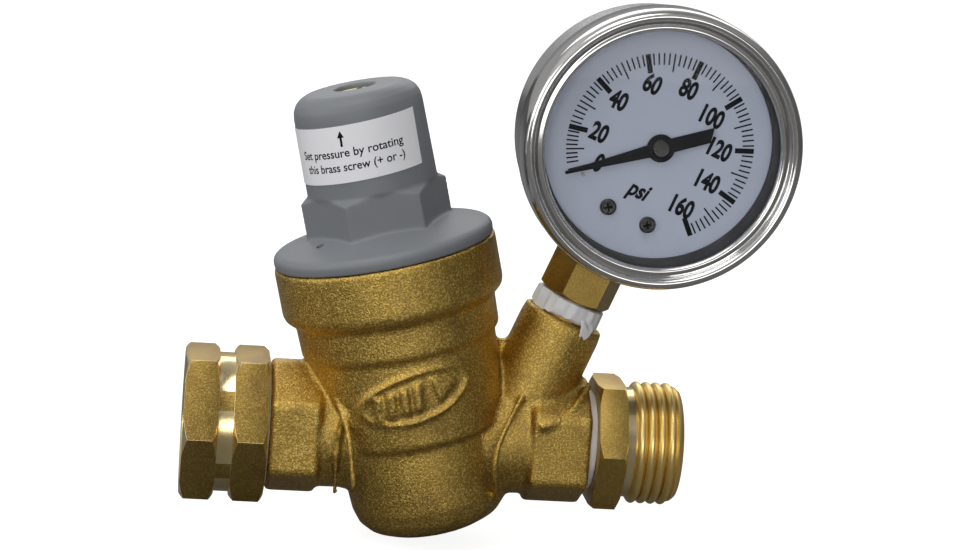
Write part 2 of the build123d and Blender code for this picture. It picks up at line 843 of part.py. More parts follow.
# ---------------------------------------------------------------- gauge stem
case_foot = gauge_rise - case_r
stem_hex_low = 34.0
stem_hex_top = case_foot - 0.15
stem_neck_r = 5.5
block_low = case_foot + case_wall + 0.7
block_top = gauge_rise - 9.5
block_width = 10.0
block_front = 3.0
block_back = -4.2
movement_front = 9.8
pressure_way_r = 1.2
dial_screw_places = [(-4.7, -16.0), (4.7, -16.0)]
movement_screw_places = [(-3.2, -11.5), (0.4, -11.5)]
with BuildPart() as gauge_socket:
    with BuildSketch(stem_section):
        with BuildLine():
            Polyline(
                (0, boss_top - gauge_thread_length + 0.4),
                (gauge_thread_r - 0.5, boss_top - gauge_thread_length + 0.4),
                (gauge_thread_r, boss_top - gauge_thread_length + 0.9),
                (gauge_thread_r, stem_hex_low),
                (stem_neck_r, stem_hex_low),
                (stem_neck_r, block_low),
                (0, block_low),
                close=True,
            )
        make_face()
    revolve(axis=stem_axis)
    with BuildPart(mode=Mode.PRIVATE) as stem_hex:
        with BuildSketch(across_stem(stem_hex_low)):
            RegularPolygon(radius=socket_flats / 2, side_count=6, major_radius=False, rotation=0)
        extrude(amount=stem_hex_top - stem_hex_low)
        hex_corner = socket_flats / sqrt(3)
        with BuildSketch(stem_section):
            with BuildLine():
                Polyline(
                    (0, stem_hex_low),
                    (socket_flats / 2 - 0.3, stem_hex_low),
                    (hex_corner + 0.1, stem_hex_low + 0.9),
                    (hex_corner + 0.1, stem_hex_top),
                    (0, stem_hex_top),
                    close=True,
                )
            make_face()
        revolve(axis=stem_axis, mode=Mode.INTERSECT)
    add(stem_hex.part)
    with BuildSketch(over_dial(block_back)):
        with Locations((0, block_low - gauge_rise)):
            Rectangle(block_width, block_top - block_low, align=(Align.CENTER, Align.MIN))
    extrude(amount=block_front - block_back)
    with BuildSketch(across_stem(boss_top - gauge_thread_length)):
        Circle(pressure_way_r)
    extrude(amount=gauge_rise - 20.0 - boss_top + gauge_thread_length, mode=Mode.SUBTRACT)
    cross_way = Plane(dial_centre + stem_up * -20.0, x_dir=(0, -1, 0), z_dir=stem_side * -1)
    with BuildSketch(cross_way):
        with Locations((-0.6, 0)):
            Circle(0.8)
    extrude(amount=block_width, mode=Mode.SUBTRACT)
    # screw holes for the dial and the movement
    with BuildSketch(over_dial(block_front)):
        with Locations(*dial_screw_places):
            Circle(0.9)
        with Locations(*movement_screw_places):
            Circle(0.8)
    extrude(amount=-2.2, mode=Mode.SUBTRACT)
save(gauge_socket, "gauge_socket")

gauge_tape = on_stem(
    [
        (gauge_thread_r, boss_top + 0.05),
        (gauge_thread_r + 1.3, boss_top + 0.05),
        (gauge_thread_r + 0.9, stem_hex_low - 0.05),
        (gauge_thread_r, stem_hex_low - 0.05),
    ]
)
save(gauge_tape, "gauge_tape")

# ---------------------------------------------------------------- gauge case, bezel, window and dial
window_back = dial_front + 1.9
window_front = window_back + window_thickness
case_inner_r = case_r - case_wall
plug_r = 4.0
plug_rise = 17.0
with BuildPart() as gauge_case:
    with BuildSketch(dial_section):
        with BuildLine():
            FilletPolyline(
                (0, case_back),
                (case_r, case_back),
                (case_r, case_mouth),
                (case_inner_r, case_mouth),
                (case_inner_r, case_back + case_wall),
                (0, case_back + case_wall),
                radius=[0, 2.5, 0, 0, 1.5, 0],
                close=True,
            )
        make_face()
    revolve(axis=dial_axis)
    with BuildSketch(across_stem(case_foot - 2.0)):
        Circle(stem_neck_r)
    extrude(amount=5.0, mode=Mode.SUBTRACT)
    with BuildSketch(over_dial(case_back - 1.0)):
        with Locations((0, plug_rise)):
            Circle(plug_r)
    extrude(amount=3.0, mode=Mode.SUBTRACT)
save(gauge_case, "gauge_case")

with BuildPart() as blowout_plug:
    with BuildSketch(over_dial(case_back)):
        with Locations((0, plug_rise)):
            Circle(plug_r)
    extrude(amount=case_wall)
    with BuildSketch(over_dial(case_back - 0.9)):
        with Locations((0, plug_rise)):
            Circle(plug_r + 1.2)
    extrude(amount=0.9)
    with BuildSketch(over_dial(case_back + case_wall)):
        with Locations((0, plug_rise)):
            Circle(plug_r + 0.7)
    extrude(amount=0.8)
save(blowout_plug, "blowout_plug")

gauge_bezel = on_dial(
    [
        (case_r, bezel_back),
        (bezel_r, bezel_back),
        (bezel_r, bezel_front - 1.6),
        (bezel_r - 1.6, bezel_front),
        (bezel_r - 2.6, bezel_front),
        (bezel_opening_r, window_front + 0.9),
        (bezel_opening_r, window_front + 0.02),
        (case_inner_r, window_front + 0.02),
        (case_inner_r, case_mouth + 0.02),
        (case_r, case_mouth + 0.02),
    ],
    {1: 0.5, 2: 1.2, 3: 0.6, 4: 0.6},
)
save(gauge_bezel, "gauge_bezel")

gauge_window = on_dial(
    [(0, window_back), (window_r, window_back), (window_r, window_front), (0, window_front)]
)
save(gauge_window, "gauge_window")

dial_back = dial_front - dial_thickness
window_gasket = on_dial(
    [
        (bezel_opening_r + 0.3, dial_front),
        (dial_r, dial_front),
        (dial_r, dial_back),
        (window_r, dial_back),
        (window_r, window_back),
        (bezel_opening_r + 0.3, window_back),
    ]
)
save(window_gasket, "window_gasket")

stop_pin_radius = dial_r - stop_margin
stop_pin_r = 0.4
stop_angle = radians(pointer_rest - 4.6)
stop_place = (stop_pin_radius * sin(stop_angle), stop_pin_radius * cos(stop_angle))
with BuildPart() as gauge_dial:
    with BuildSketch(over_dial(dial_back)):
        Circle(dial_r)
        Circle(2.0, mode=Mode.SUBTRACT)
        with Locations(*dial_screw_places):
            Circle(0.95, mode=Mode.SUBTRACT)
        with Locations(stop_place):
            Circle(stop_pin_r, mode=Mode.SUBTRACT)
    extrude(amount=dial_thickness)
save(gauge_dial, "gauge_dial")

with BuildPart() as dial_screws:
    with BuildSketch(over_dial(dial_front)):
        with Locations(*dial_screw_places):
            Circle(1.75)
    extrude(amount=0.9)
    chamfer(dial_screws.faces().sort_by(Axis.Y)[0].edges(), 0.3)
    chamfer(dial_screws.faces().sort_by(Axis.Y)[1].edges(), 0.3)
    with BuildSketch(over_dial(block_front - 2.0)):
        with Locations(*dial_screw_places):
            Circle(0.9)
    extrude(amount=dial_front - block_front + 2.0)
    with BuildSketch(over_dial(dial_front + 0.45)):
        with Locations(*dial_screw_places):
            Rectangle(1.9, 0.45, rotation=35)
            Rectangle(0.45, 1.9, rotation=35)
    extrude(amount=1.0, mode=Mode.SUBTRACT)
save(dial_screws, "dial_screws")

with BuildPart() as dial_spacers:
    with BuildSketch(over_dial(block_front)):
        with Locations(*dial_screw_places):
            Circle(1.4)
            Circle(0.95, mode=Mode.SUBTRACT)
    extrude(amount=dial_back - block_front)
save(dial_spacers, "dial_spacers")

with BuildPart() as stop_pin:
    with BuildSketch(over_dial(dial_back)):
        with Locations(stop_place):
            Circle(stop_pin_r)
    extrude(amount=1.35)
save(stop_pin, "stop_pin")

# ---------------------------------------------------------------- gauge movement
gear_low = 5.4
gear_top = 6.9
ratio = sector_teeth / pinion_teeth
centre_distance = gear_module * (sector_teeth + pinion_teeth) / 2
pivot_angle = radians(290)
pivot_place = (centre_distance * cos(pivot_angle), centre_distance * sin(pivot_angle))
plate_gap_low = block_front + 1.0
plate_gap_high = movement_front - 1.0
pivot_r = 0.8
tail_angle = radians(-25)
tail_length = 6.5
tail_place = (
    pivot_place[0] + tail_length * cos(tail_angle),
    pivot_place[1] + tail_length * sin(tail_angle),
)
tube_r = dial_r - tube_margin
tube_radial = 2.6
tube_width = 6.4
tube_middle = -0.6
tube_wall = 0.5
tip_angle = -25.0
root_angle = 253.5
tip_arc = 7.0
tip_place = (
    tube_r * cos(radians(tip_angle - tip_arc / 2)),
    tube_r * sin(radians(tip_angle - tip_arc / 2)),
)


def around_dial(angle):
    """Radial section through the dial axis; angle is counted from the dial's right, anticlockwise."""
    outward = stem_side * cos(radians(angle)) + stem_up * sin(radians(angle))
    return Plane(dial_centre, x_dir=outward, z_dir=outward.cross(Vector(0, -1, 0)))


with BuildPart() as bourdon_tube:
    with BuildSketch(around_dial(tip_angle)):
        with Locations((tube_r, tube_middle)):
            SlotOverall(tube_width, tube_radial, rotation=90)
            SlotOverall(tube_width - 2 * tube_wall, tube_radial - 2 * tube_wall, rotation=90, mode=Mode.SUBTRACT)
    revolve(axis=dial_axis, revolution_arc=root_angle - tip_angle)
save(bourdon_tube, "bourdon_tube")

with BuildPart() as tube_tip:
    with BuildSketch(around_dial(tip_angle - tip_arc)):
        with Locations((tube_r, tube_middle)):
            Rectangle(tube_radial + 0.6, tube_width + 1.0)
    revolve(axis=dial_axis, revolution_arc=tip_arc)
    with BuildSketch(over_dial(tube_middle)):
        with Locations(tip_place):
            Circle(0.75)
    extrude(amount=tube_width, mode=Mode.SUBTRACT)
save(tube_tip, "tube_tip")


def toothed(teeth, first, last, phase, inner_r):
    """Gear outline about its own centre: slender tapered teeth, first to last, with room to run."""
    pitch_r = gear_module * teeth / 2
    step = 2 * pi / teeth
    root_r = pitch_r - 1.15 * gear_module
    tip_r = pitch_r + 0.8 * gear_module
    points = []
    for tooth in range(first, last + 1):
        middle = phase + tooth * step
        for turn, radius in ((-0.27, root_r), (-0.13, tip_r), (0.13, tip_r), (0.27, root_r)):
            angle = middle + turn * step
            points.append((radius * cos(angle), radius * sin(angle)))
    if inner_r:
        for angle in (phase + (last + 0.3) * step, phase + (first - 0.3) * step):
            points.append((inner_r * cos(angle), inner_r * sin(angle)))
    return points


facing = pivot_angle + pi                     # from the sector's pivot towards the arbor
with BuildPart() as sector_gear:
    with BuildSketch(over_dial(gear_low)):
        with BuildLine():
            first_tooth = -round((pointer_turn / ratio + 6) / 360 * sector_teeth)
            last_tooth = round(6 / 360 * sector_teeth)
            rim = toothed(sector_teeth, first_tooth, last_tooth, facing, 9.6)
            Polyline(*[(pivot_place[0] + x, pivot_place[1] + y) for x, y in rim], close=True)
        make_face()
        spoke = radians(-pointer_turn / ratio / 2)
        with Locations(pivot_place):
            Circle(2.2)
            with Locations((5.5 * cos(facing + spoke), 5.5 * sin(facing + spoke))):
                Rectangle(9.4, 2.4, rotation=(facing + spoke) * 180 / pi)
            with Locations((tail_length / 2 * cos(tail_angle), tail_length / 2 * sin(tail_angle))):
                SlotOverall(tail_length + 2.4, 2.4, rotation=tail_angle * 180 / pi)
    extrude(amount=gear_top - gear_low)
    with BuildSketch(over_dial(block_front + 0.1)):
        with Locations(pivot_place):
            Circle(pivot_r)
    extrude(amount=movement_front - block_front - 0.1)
    with BuildSketch(over_dial(gear_low - 0.3)):
        with Locations(tail_place):
            Circle(0.6)
    extrude(amount=2.8)
save(sector_gear, "sector_gear")

with BuildPart() as pinion:
    with BuildSketch(over_dial(gear_low - 0.3)):
        with BuildLine():
            leaf_phase = pivot_angle + pi / pinion_teeth
            Polyline(*toothed(pinion_teeth, 0, pinion_teeth - 1, leaf_phase, 0), close=True)
        make_face()
    extrude(amount=gear_top - gear_low + 0.6)
    with BuildSketch(over_dial(block_front + 0.1)):
        Circle(arbor_r)
    extrude(amount=dial_front + 0.15 - block_front - 0.1)
save(pinion, "pinion")

link_low = 7.3
link_top = 7.9
link_angle = (Vector(*tip_place) - Vector(*tail_place)).get_angle(Vector(1, 0))
link_length = (Vector(*tip_place) - Vector(*tail_place)).length
link_middle = ((tip_place[0] + tail_place[0]) / 2, (tip_place[1] + tail_place[1]) / 2)
with BuildPart() as link:
    with BuildSketch(over_dial(link_low)):
        with Locations(link_middle):
            SlotOverall(link_length + 2.6, 2.2, rotation=link_angle)
        with Locations(tail_place):
            Circle(0.6 + running_gap, mode=Mode.SUBTRACT)
        with Locations(tip_place):
            Circle(0.65, mode=Mode.SUBTRACT)
    extrude(amount=link_top - link_low)
save(link, "link")

with BuildPart() as link_screw:
    with BuildSketch(over_dial(link_low - 4.0)):
        with Locations(tip_place):
            Circle(0.65)
    extrude(amount=4.0 + link_top - link_low)
    with BuildSketch(over_dial(link_top)):
        with Locations(tip_place):
            Circle(1.2)
    extrude(amount=0.6)
save(link_screw, "link_screw")


def movement_plate(low):
    """One of the two brass plates that carry the arbor and the sector's pivot."""
    with BuildPart() as plate:
        with BuildSketch(over_dial(low)) as outline:
            with Locations((0.4, -3.9)):
                RectangleRounded(16.4, 20.0, 2.0)
            with Locations((0, 0)):
                Circle(arbor_r + running_gap, mode=Mode.SUBTRACT)
            with Locations(pivot_place):
                Circle(pivot_r + running_gap, mode=Mode.SUBTRACT)
        extrude(amount=1.0)
    return plate


back_plate = movement_plate(block_front)
with BuildPart() as movement_back_plate:
    add(back_plate.part)
    with BuildSketch(over_dial(block_front)):
        with Locations(*movement_screw_places):
            Circle(0.85)
    extrude(amount=1.0, mode=Mode.SUBTRACT)
save(movement_back_plate, "movement_back_plate")
front_plate = movement_plate(plate_gap_high)
save(front_plate, "movement_front_plate")

with BuildPart() as movement_pillars:
    with BuildSketch(over_dial(plate_gap_low)):
        with Locations((-6.2, -12.0), (-6.2, 4.3), (7.0, 4.3)):
            Circle(1.3)
    extrude(amount=plate_gap_high - plate_gap_low)
save(movement_pillars, "movement_pillars")

with BuildPart() as movement_screws:
    with BuildSketch(over_dial(block_front - 2.0)):
        with Locations(*movement_screw_places):
            Circle(0.8)
    extrude(amount=3.0)
    with BuildSketch(over_dial(plate_gap_low)):
        with Locations(*movement_screw_places):
            Circle(1.35)
    extrude(amount=0.7)
save(movement_screws, "movement_screws")

spiral_turns = 4.0
spiral_inner_r = arbor_r + 0.25
spiral_outer_r = 4.6
with BuildPart() as hairspring:
    with BuildSketch(over_dial(gear_low - 0.95)):
        with BuildLine():
            steps = 64
            spiral = []
            for step in range(steps + 1):
                share = step / steps
                radius = spiral_inner_r + (spiral_outer_r - spiral_inner_r) * share
                angle = 2 * pi * spiral_turns * share
                spiral.append((radius * cos(angle), radius * sin(angle)))
            Spline(*spiral)
        trace(line_width=0.18)
    extrude(amount=0.5)
save(hairspring, "hairspring")

# ---------------------------------------------------------------- pointer
pointer_low = dial_front + 0.5
pointer_thickness = 0.4
pointer_reach = dial_r - pointer_margin
pointer_tail = 12.0
rest_angle = 90.0 - pointer_rest
with BuildPart() as pointer:
    with BuildSketch(over_dial(pointer_low)):
        with BuildLine(Plane.XY.rotated((0, 0, rest_angle))):
            Polyline(
                (-pointer_tail, -1.1),
                (1.4 - pointer_tail, 1.5),
                (0, 1.5),
                (pointer_reach, 0.3),
                (pointer_reach, -0.3),
                (0, -1.5),
                (-pointer_tail, -1.4),
                close=True,
            )
        make_face()
        Circle(3.0)
    extrude(amount=pointer_thickness)
    with BuildSketch(over_dial(dial_front + 0.15)):
        Circle(1.7)
    extrude(amount=pointer_low - dial_front - 0.15)
save(pointer, "pointer")

with BuildPart() as pointer_cap:
    with BuildSketch(over_dial(pointer_low + pointer_thickness)):
        Circle(1.9)
    extrude(amount=0.6)
    chamfer(pointer_cap.faces().sort_by(Axis.Y)[0].edges(), 0.2)
save(pointer_cap, "pointer_cap")
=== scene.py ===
# Adjustable brass water pressure regulator with a dial gauge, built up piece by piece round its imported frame.
import json
import random
from math import atan2, cos, degrees, pi, radians, sin, sqrt

import bpy
from mathutils import Matrix, Vector


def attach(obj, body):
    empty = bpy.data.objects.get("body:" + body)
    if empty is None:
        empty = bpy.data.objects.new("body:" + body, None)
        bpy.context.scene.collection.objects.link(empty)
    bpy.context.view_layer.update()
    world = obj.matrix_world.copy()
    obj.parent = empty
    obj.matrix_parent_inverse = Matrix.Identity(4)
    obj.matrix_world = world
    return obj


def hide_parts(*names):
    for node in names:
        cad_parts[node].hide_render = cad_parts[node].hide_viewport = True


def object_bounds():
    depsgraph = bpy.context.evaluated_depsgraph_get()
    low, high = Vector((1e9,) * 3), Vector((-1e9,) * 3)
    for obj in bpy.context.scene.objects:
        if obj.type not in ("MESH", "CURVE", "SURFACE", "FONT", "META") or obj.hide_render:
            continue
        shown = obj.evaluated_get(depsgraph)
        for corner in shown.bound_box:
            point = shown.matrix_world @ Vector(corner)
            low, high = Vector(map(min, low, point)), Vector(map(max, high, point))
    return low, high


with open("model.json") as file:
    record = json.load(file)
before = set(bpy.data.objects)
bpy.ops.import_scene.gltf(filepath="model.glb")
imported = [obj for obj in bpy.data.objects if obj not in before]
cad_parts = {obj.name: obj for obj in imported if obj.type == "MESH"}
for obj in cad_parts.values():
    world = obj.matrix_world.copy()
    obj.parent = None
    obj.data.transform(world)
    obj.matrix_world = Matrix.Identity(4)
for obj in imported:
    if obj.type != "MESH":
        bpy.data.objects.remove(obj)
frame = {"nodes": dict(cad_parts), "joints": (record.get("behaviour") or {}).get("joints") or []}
cad_low, cad_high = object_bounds()
mm = 0.001
joints = {joint["name"]: joint for joint in frame["joints"]}

# ---------------------------------------------------------------- camera, floor and light
# The camera stands a little to the inlet side and above the pipe, tilted a few degrees, with a long lens.
screw = joints["screw_turn"]
stack_up = Vector(screw["axis"]).normalized()
stack_point = Vector(screw["pos_m"])
crossing = stack_point - stack_up * (stack_point.z / stack_up.z)
look_at = crossing + Vector((12.8, 0, 35.7)) * mm
camera_azimuth = radians(-7.2)
camera_height = radians(10.75)
camera_roll = radians(4.66)
camera_distance = 0.600
focal_in_frame_widths = 2761 / 978
towards_camera = Vector(
    (
        sin(camera_azimuth) * cos(camera_height),
        -cos(camera_azimuth) * cos(camera_height),
        sin(camera_height),
    )
)
camera_right = Vector((cos(camera_azimuth), sin(camera_azimuth), 0))
camera_up = towards_camera.cross(camera_right)
rolled_right = camera_right * cos(camera_roll) + camera_up * sin(camera_roll)
rolled_up = camera_up * cos(camera_roll) - camera_right * sin(camera_roll)
camera_data = bpy.data.cameras.new("camera")
camera = bpy.data.objects.new("camera", camera_data)
bpy.context.scene.collection.objects.link(camera)
turn = Matrix((rolled_right, rolled_up, towards_camera)).transposed().to_4x4()
camera.matrix_world = Matrix.Translation(look_at + towards_camera * camera_distance) @ turn
camera_data.sensor_width = 36.0
camera_data.lens = 36.0 * focal_in_frame_widths
camera_data.clip_start = 0.01
bpy.context.scene.camera = camera

# A white sky for the eye, and for the metal a dimmer studio: dark underfoot, even all round and pale high up,
# half as bright again on the inlet side and fading towards the gauge.
world = bpy.data.worlds.new("studio")
bpy.context.scene.world = world
world.use_nodes = True
sky = world.node_tree
sky.nodes.clear()
sky_out = sky.nodes.new("ShaderNodeOutputWorld")
sky_mix = sky.nodes.new("ShaderNodeMixShader")
sky_seen = sky.nodes.new("ShaderNodeBackground")
sky_lit = sky.nodes.new("ShaderNodeBackground")
sky_path = sky.nodes.new("ShaderNodeLightPath")
sky_where = sky.nodes.new("ShaderNodeTexCoord")
sky_split = sky.nodes.new("ShaderNodeSeparateXYZ")
sky.links.new(sky_where.outputs["Generated"], sky_split.inputs[0])


def grey_stops(ramp, stops):
    """Sets a new ramp to greys, given as (place, level) with both ends first."""
    bands = ramp.color_ramp.elements
    for number, (at, level) in enumerate(stops):
        if number > 1:
            band = bands.new(at)
        else:
            band = bands[number]
            band.position = at
        band.color = (level, level, level, 1)


def sky_along(axis, stops):
    """A grey ramp over the sky, from one end of an axis to the other."""
    share = sky.nodes.new("ShaderNodeMath")
    share.operation = "MULTIPLY_ADD"
    share.inputs[1].default_value = 0.5
    share.inputs[2].default_value = 0.5
    ramp = sky.nodes.new("ShaderNodeValToRGB")
    sky.links.new(sky_split.outputs[axis], share.inputs[0])
    sky.links.new(share.outputs[0], ramp.inputs[0])
    grey_stops(ramp, stops)
    return ramp


sky_height = sky_along(
    "Z",
    [
        (0.0, 0.06), (1.0, 0.26), (0.38, 0.08), (0.48, 0.30), (0.56, 0.32), (0.68, 0.30), (0.82, 0.55),
        (0.93, 0.42),
    ],
)
sky_height.color_ramp.elements[-1].color = (0.26, 0.26, 0.27, 1)
sky_side = sky_along("X", [(0.0, 1.5), (1.0, 0.35), (0.5, 1.0)])
sky_both = sky.nodes.new("ShaderNodeMix")
sky_both.data_type = "RGBA"
sky_both.blend_type = "MULTIPLY"
sky_both.inputs["Factor"].default_value = 1.0
sky.links.new(sky_height.outputs["Color"], sky_both.inputs["A"])
sky.links.new(sky_side.outputs["Color"], sky_both.inputs["B"])
sky.links.new(sky_both.outputs["Result"], sky_lit.inputs["Color"])
sky_seen.inputs["Color"].default_value = (1, 1, 1, 1)
sky.links.new(sky_path.outputs["Is Camera Ray"], sky_mix.inputs[0])
sky.links.new(sky_lit.outputs[0], sky_mix.inputs[1])
sky.links.new(sky_seen.outputs[0], sky_mix.inputs[2])
sky.links.new(sky_mix.outputs[0], sky_out.inputs["Surface"])
bpy.context.scene.view_settings.view_transform = "Standard"


def soft_light(name, place, width, height, watts):
    """An area light that faces the middle of the valve."""
    data = bpy.data.lights.new(name, "AREA")
    data.shape = "RECTANGLE"
    data.size = width
    data.size_y = height
    data.energy = watts
    lamp = bpy.data.objects.new(name, data)
    bpy.context.scene.collection.objects.link(lamp)
    lamp.location = look_at + Vector(place)
    lamp.rotation_euler = (look_at - lamp.location).to_track_quat("-Z", "Y").to_euler()


soft_light("top_box", (-0.20, -0.22, 0.80), 0.6, 0.4, 2.4)
soft_light("front_box", (-0.10, -0.90, -0.02), 0.8, 0.5, 3.4)
soft_light("left_front_box", (-0.75, -0.40, 0.30), 0.35, 0.45, 0.8)
soft_light("left_strip", (-0.80, -0.05, 0.10), 0.10, 0.7, 0.8)
soft_light("back_box", (0.10, 0.70, 0.45), 0.8, 0.4, 1.6)


def put_away():
    """Leaves edit mode and selects nothing."""
    if bpy.context.object and bpy.context.object.mode != "OBJECT":
        bpy.ops.object.mode_set(mode="OBJECT")
    bpy.ops.object.select_all(action="DESELECT")


# The floor looks white to the eye and throws a little grey light back up.
floor_width = 6.0
floor_gap = 0.0002
put_away()
bpy.ops.mesh.primitive_plane_add(size=floor_width, location=(look_at.x, 0, cad_low.z - floor_gap))
floor = bpy.context.object
floor.name = "studio_floor"
floor_paint = bpy.data.materials.new("floor_paint")
floor_paint.use_nodes = True
floor_nodes = floor_paint.node_tree.nodes
floor_links = floor_paint.node_tree.links
floor_white = floor_nodes["Principled BSDF"]
floor_white.inputs["Base Color"].default_value = (0.35, 0.35, 0.35, 1)
floor_white.inputs["Roughness"].default_value = 1.0
floor_white.inputs["Specular IOR Level"].default_value = 0.0
floor_white.inputs["Emission Color"].default_value = (1, 1, 1, 1)
floor_white.inputs["Emission Strength"].default_value = 0.9
floor_bounce = floor_nodes.new("ShaderNodeBsdfDiffuse")
floor_bounce.inputs["Color"].default_value = (0.22, 0.22, 0.22, 1)
floor_mix = floor_nodes.new("ShaderNodeMixShader")
floor_path = floor_nodes.new("ShaderNodeLightPath")
floor_links.new(floor_path.outputs["Is Camera Ray"], floor_mix.inputs[0])
floor_links.new(floor_bounce.outputs[0], floor_mix.inputs[1])
floor_links.new(floor_white.outputs[0], floor_mix.inputs[2])
floor_links.new(floor_mix.outputs[0], floor_nodes["Material Output"].inputs["Surface"])
floor.data.materials.append(floor_paint)

# ---------------------------------------------------------------- forged body
# One hot brass forging: bowl for the spring stack, two necks on the pipe and a boss for the gauge stem.
# It is shot-blasted all over, with soft corners, a raised parting ridge and a raised oval mark on the front.
stack_out = Vector((stack_up.z, 0, -stack_up.x))
across = Vector((0, 1, 0))


def standing(origin, x_way, y_way, z_way):
    """Placing matrix from three directions and an origin."""
    return Matrix.Translation(origin) @ Matrix((x_way, y_way, z_way)).transposed().to_4x4()


on_stack = standing(crossing, stack_out, across, stack_up)
on_pipe = standing(crossing, across, Vector((0, 0, 1)), Vector((1, 0, 0)))
dial_centre = Vector(joints["pointer_turn"]["pos_m"])
stem_foot_x = 19.5
stem_foot = crossing + Vector((stem_foot_x * mm, 0, 0))
stem_up = (dial_centre - stem_foot).normalized()
stem_side = Vector((stem_up.z, 0, -stem_up.x))
on_stem = standing(stem_foot, stem_side, across, stem_up)
on_dial = standing(dial_centre, stem_side, stem_up, Vector((0, -1, 0)))


def begin(kind, **how):
    """Adds a primitive with nothing else selected."""
    put_away()
    getattr(bpy.ops.mesh, "primitive_" + kind + "_add")(**how)
    return bpy.context.object


def place(piece, matrix):
    """Puts a piece modelled about the origin where it belongs, with its place in its mesh."""
    put_away()
    piece.select_set(True)
    bpy.context.view_layer.objects.active = piece
    piece.matrix_world = matrix @ piece.matrix_world
    bpy.ops.object.transform_apply(location=True, rotation=True, scale=True)
    return piece


def turned(name, rings, matrix, segments=96):
    """Draws one ring and extrudes it ring by ring to (radius, height) in mm, as a lathe cuts a profile."""
    least = 0.02
    last_radius, last_height = max(rings[0][0], least), rings[0][1]
    piece = begin("circle", vertices=segments, radius=last_radius * mm, location=(0, 0, last_height * mm))
    piece.name = name
    bpy.ops.object.mode_set(mode="EDIT")
    bpy.ops.mesh.select_mode(type="VERT")
    bpy.ops.mesh.select_all(action="SELECT")
    for radius, height in rings[1:]:
        radius = max(radius, least)
        rise = (height - last_height) * mm
        bpy.ops.mesh.extrude_edges_move(TRANSFORM_OT_translate={"value": (0, 0, rise)})
        share = radius / last_radius
        bpy.ops.transform.resize(value=(share, share, 1), center_override=(0, 0, height * mm))
        last_radius, last_height = radius, height
    bpy.ops.mesh.select_all(action="SELECT")
    bpy.ops.mesh.remove_doubles(threshold=0.000001)
    bpy.ops.mesh.select_all(action="DESELECT")
    bpy.ops.mesh.select_non_manifold()
    bpy.ops.mesh.edge_face_add()
    bpy.ops.mesh.select_all(action="SELECT")
    bpy.ops.mesh.normals_make_consistent(inside=False)
    bpy.ops.object.mode_set(mode="OBJECT")
    return place(piece, matrix)


def apply(piece, kind, **settings):
    """Adds one modifier, sets it and applies it."""
    put_away()
    bpy.context.view_layer.objects.active = piece
    piece.select_set(True)
    modifier = piece.modifiers.new(kind.lower(), kind)
    for setting, value in settings.items():
        setattr(modifier, setting, value)
    bpy.ops.object.modifier_apply(modifier=modifier.name)
    return piece


def joined(name, pieces):
    """Joins pieces into the first one."""
    put_away()
    for piece in pieces:
        piece.select_set(True)
    bpy.context.view_layer.objects.active = pieces[0]
    bpy.ops.object.join()
    pieces[0].name = name
    return pieces[0]


def smooth(piece, angle):
    put_away()
    piece.select_set(True)
    bpy.context.view_layer.objects.active = piece
    bpy.ops.object.shade_smooth_by_angle(angle=radians(angle))


bowl = turned(
    "forged_body",
    [
        (0, -21.0), (8.0, -21.0), (11.5, -20.6), (14.5, -19.2), (16.4, -17.0), (17.3, -14.0), (17.8, -6.0),
        (17.9, 0.3), (19.5, 1.5), (20.3, 11.0), (20.6, 20.6), (21.7, 21.7), (21.9, 28.4), (23.9, 30.2),
        (24.2, 31.4), (24.2, 41.2), (23.9, 41.5), (21.0, 41.5), (21.0, 31.0), (17.0, 31.0), (17.0, 16.0),
        (10.0, 16.0), (10.0, 8.0), (9.0, 8.0), (9.0, -16.0), (0, -16.0),
    ],
    on_stack,
)


def forged_neck(start, length, width, height, inner_end):
    """A six-sided neck, its top and bottom corners cut flat and its edges bevelled."""
    neck = begin("cylinder", vertices=6, radius=width / sqrt(3) * mm, depth=length * mm)
    bpy.ops.object.mode_set(mode="EDIT")
    bpy.ops.mesh.select_all(action="SELECT")
    for side in (-1, 1):
        bpy.ops.mesh.select_all(action="SELECT")
        bpy.ops.mesh.bisect(
            plane_co=(0, side * height / 2 * mm, 0),
            plane_no=(0, side, 0),
            clear_outer=True,
            use_fill=True,
        )
    bpy.ops.mesh.select_all(action="SELECT")
    bpy.ops.mesh.normals_make_consistent(inside=False)
    bpy.ops.object.mode_set(mode="OBJECT")
    lift = Matrix.Translation((0, 0, (start + length / 2) * mm))
    place(neck, on_pipe @ lift)
    apply(neck, "BEVEL", width=1.0 * mm, segments=3, limit_method="ANGLE", angle_limit=radians(25))
    return neck


def round_bar(radius, start, length, matrix, segments=64):
    bar = begin("cylinder", vertices=segments, radius=radius * mm, depth=length * mm)
    return place(bar, matrix @ Matrix.Translation((0, 0, (start + length / 2) * mm)))


inlet_neck = forged_neck(-33.0, 11.0, 27.0, 29.0, -22.0)
outlet_neck = forged_neck(23.5, 13.0, 26.4, 28.0, 23.5)
inlet_waist = turned(
    "waist", [(0, -24.0), (13.1, -24.0), (13.0, -17.0), (14.2, -11.0), (0, -11.0)], on_pipe, 48
)
outlet_waist = turned("waist", [(0, 10.5), (13.2, 10.5), (12.6, 16.0), (12.4, 25.0), (0, 25.0)], on_pipe, 48)
gauge_boss = turned("boss", [(0, 0.0), (9.3, 0.0), (9.2, 27.0), (8.9, 29.5), (0, 29.5)], on_stem, 64)


